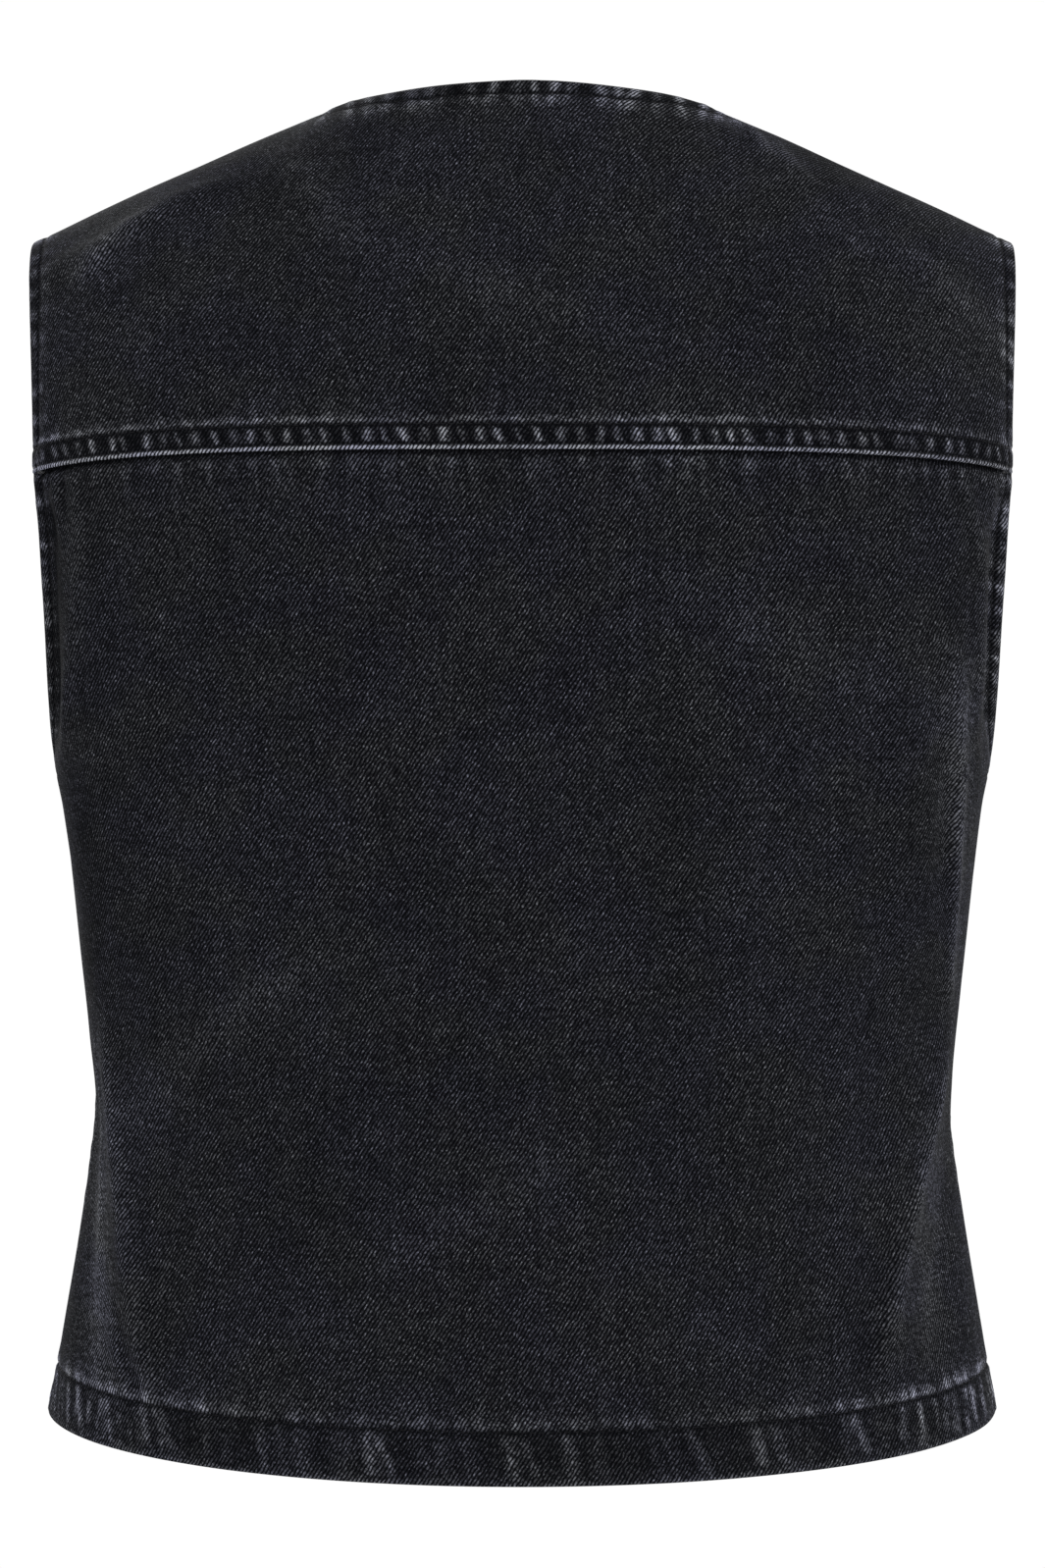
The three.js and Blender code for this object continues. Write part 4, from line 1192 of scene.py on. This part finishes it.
def thread_material():
    material, tree, shader = new_material("thread", {"Roughness": 0.7, "Specular IOR Level": 0.1})
    place = shader_node(tree, "TexCoord").outputs["Object"]
    twist = noise_at(tree, place, 2600, 1)
    colour = ramp(tree, twist, (0, (0.0015, 0.0015, 0.002)), (1, (0.014, 0.014, 0.016)))
    tree.links.new(colour, shader.inputs["Base Color"])
    return material


def metal_material():
    material, tree, shader = new_material("gunmetal", {"Metallic": 1.0})
    place = shader_node(tree, "TexCoord").outputs["Object"]
    patches = noise_at(tree, place, 420, 3, 0.6)
    colour = ramp(tree, patches, (0.35, (0.05, 0.05, 0.053)), (0.7, (0.13, 0.13, 0.135)))
    tree.links.new(colour, shader.inputs["Base Color"])
    tree.links.new(ranged(tree, patches, 0.3, 0.7, 0.3, 0.5, False), shader.inputs["Roughness"])
    return material


def area_light(name, place, target, size, power):
    light = bpy.data.lights.new(name, "AREA")
    light.shape = "RECTANGLE"
    light.size, light.size_y = size
    light.energy = power
    lamp = bpy.data.objects.new(name, light)
    lamp.location = place
    lamp.rotation_euler = (Vector(target) - Vector(place)).to_track_quat("-Z", "Y").to_euler()
    bpy.context.scene.collection.objects.link(lamp)


def show_apart(tree, lighting, shown, output):
    """Lights the scene with one shader and shows the camera another."""
    seen = shader_node(tree, "LightPath").outputs["Is Camera Ray"]
    both = shader_node(tree, "MixShader", {0: seen, 1: lighting.outputs[0], 2: shown.outputs[0]})
    tree.links.new(both.outputs[0], tree.nodes[output].inputs["Surface"])


def studio():
    """A white sweep, soft light from both sides, and the photograph's level view of the back."""
    camera_distance, eye_height = 1.365, 0.2653
    long_side, focal_pixels, sensor = 1598, 3378, 36
    camera = bpy.data.cameras.new("camera")
    camera.sensor_width = sensor
    camera.lens = sensor * focal_pixels / long_side
    eye = bpy.data.objects.new("camera", camera)
    eye.location = (0, camera_distance, eye_height - REST_HEIGHT * MM)
    eye.rotation_euler = (math.pi / 2, 0, math.pi)
    bpy.context.scene.collection.objects.link(eye)
    bpy.context.scene.camera = eye

    floor_drop, shown_white, fill_light = 0.6, 1.02, 0.45
    bm = bmesh.new()
    bmesh.ops.create_circle(bm, cap_ends=True, segments=96, radius=14)
    bmesh.ops.translate(bm, vec=(0, 0, -REST_HEIGHT * MM - floor_drop), verts=bm.verts)
    floor = finish_mesh("floor", bm)
    material, tree, shader = new_material("pale_floor", {"Base Color": (0.5, 0.5, 0.5, 1), "Roughness": 0.9})
    white = shader_node(tree, "Emission", {"Color": (1, 1, 1, 1), "Strength": shown_white})
    show_apart(tree, shader, white, "Material Output")
    floor.data.materials.append(material)

    world = bpy.data.worlds.new("studio")
    bpy.context.scene.world = world
    world.use_nodes = True
    tree = world.node_tree
    backdrop = tree.nodes["Background"]
    backdrop.inputs["Color"].default_value = (1, 1, 1, 1)
    backdrop.inputs["Strength"].default_value = shown_white
    fill = shader_node(tree, "Background", {"Color": (1, 1, 1, 1), "Strength": fill_light})
    show_apart(tree, fill, backdrop, "World Output")

    middle = (0, 0, -0.24)
    lights = (
        ("left_side", (1.4, 0.1, 0.7), (0.7, 0.9), 10),
        ("right_side", (-1.4, 0.1, 0.6), (0.7, 0.9), 15),
        ("behind", (-0.3, 2.6, 0.1), (2.2, 1.8), 48),
        ("overhead", (0, 0.0, 1.8), (1.4, 1.0), 2),
        ("left_of_front", (1.1, -1.7, 0.6), (1.0, 1.2), 62),
        ("right_of_front", (-1.3, -1.5, 0.3), (0.9, 1.2), 34),
    )
    for name, place, size, power in lights:
        area_light(name, place, middle, size, power)
    bpy.context.scene.view_settings.view_transform = "Standard"


def dress(piece, node, slot, *materials):
    """Gives a piece its materials and its place in the frame, and hides the solid it stands for."""
    for material in materials:
        piece.data.materials.append(material)
    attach(piece, "root")
    if node:
        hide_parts(node)


def armhole_rows(grid):
    """Rows of a panel that end on the armhole."""
    return np.nonzero(grid["points"][:, -1, 2] > UNDERARM + 2)[0]


def panel_sewing(grid, first_rows, last_rows):
    """Topstitching of a panel that has a hem: along the hem and along both sides."""
    line = SIDE_STOPS.index(EDGE_ROW)
    sides = [column_path(grid, line, first_rows), column_path(grid, -1 - line, last_rows)]
    return [row_path(grid, HEM_STOPS.index(HEM_TURN)), *sides]


groups = {"twill": twill_group(), "wash": wash_group()}
face = denim("denim_face", (0.0014, 0.0015, 0.0021), (0.340, 0.350, 0.385), (0.325, 0.333, 0.418), groups)
reverse = denim("denim_reverse", (0.035, 0.035, 0.038), (0.30, 0.30, 0.31), (0.29, 0.30, 0.33), groups)
thread = thread_material()
metal = metal_material()

back_grid, back = back_panel()
yoke_grid, yoke = back_yoke()
left_grid, left = front_panel("cloth_front_left", 1)
right_grid, right = front_panel("cloth_front_right", -1)
cloth = {"back_panel": back, "back_yoke": yoke, "front_left": left, "front_right": right}
for node, piece in cloth.items():
    dress(piece, node, "denim", face, reverse)

edge_column = SIDE_STOPS.index(EDGE_ROW)
below_yoke = armhole_rows(back_grid)[:-2]
sewing = {
    "stitches_back": panel_sewing(back_grid, below_yoke, below_yoke),
    "stitches_yoke": [
        *(row_path(yoke_grid, YOKE_STOPS.index(row)) for row in YOKE_ROWS),
        *(column_path(yoke_grid, column) for column in (edge_column, -1 - edge_column)),
        crossing(yoke_grid, yoke_grid["from_neck"], NECK_ROW),
    ],
    "stitches_front_left": panel_sewing(left_grid, slice(None), armhole_rows(left_grid)),
    "stitches_front_right": panel_sewing(right_grid, slice(None), armhole_rows(right_grid)),
}
stitches = {}
for name, paths in sewing.items():
    stitches[name] = thread_piece(name, itertools.chain(*map(stitches_along, paths)))
    dress(stitches[name], None, "seam_thread", thread)

for number in range(BUTTONS["count"]):
    dress(button_piece(number), f"button_{number + 1}", "button_metal", metal)
holes = thread_piece("buttonhole_threads", itertools.chain(*map(buttonhole_threads, range(BUTTONS["count"]))))
dress(holes, None, "seam_thread", thread)

# What each piece was cut to, with its hems and seam allowances, what it hangs from and what is sewn on it.
sheets = (
    (back, (0.514, 0.430), 0.208, [yoke], [stitches["stitches_back"]]),
    (yoke, (0.446, 0.185), 0.080, [left, right], [stitches["stitches_yoke"]]),
    (left, (0.270, 0.570), 0.142, [yoke], [stitches["stitches_front_left"]]),
    (right, (0.270, 0.570), 0.142, [yoke], [stitches["stitches_front_right"], holes]),
)
for piece, flat, area, carriers, sewn_on in sheets:
    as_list(carriers)
    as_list(sewn_on)

studio()
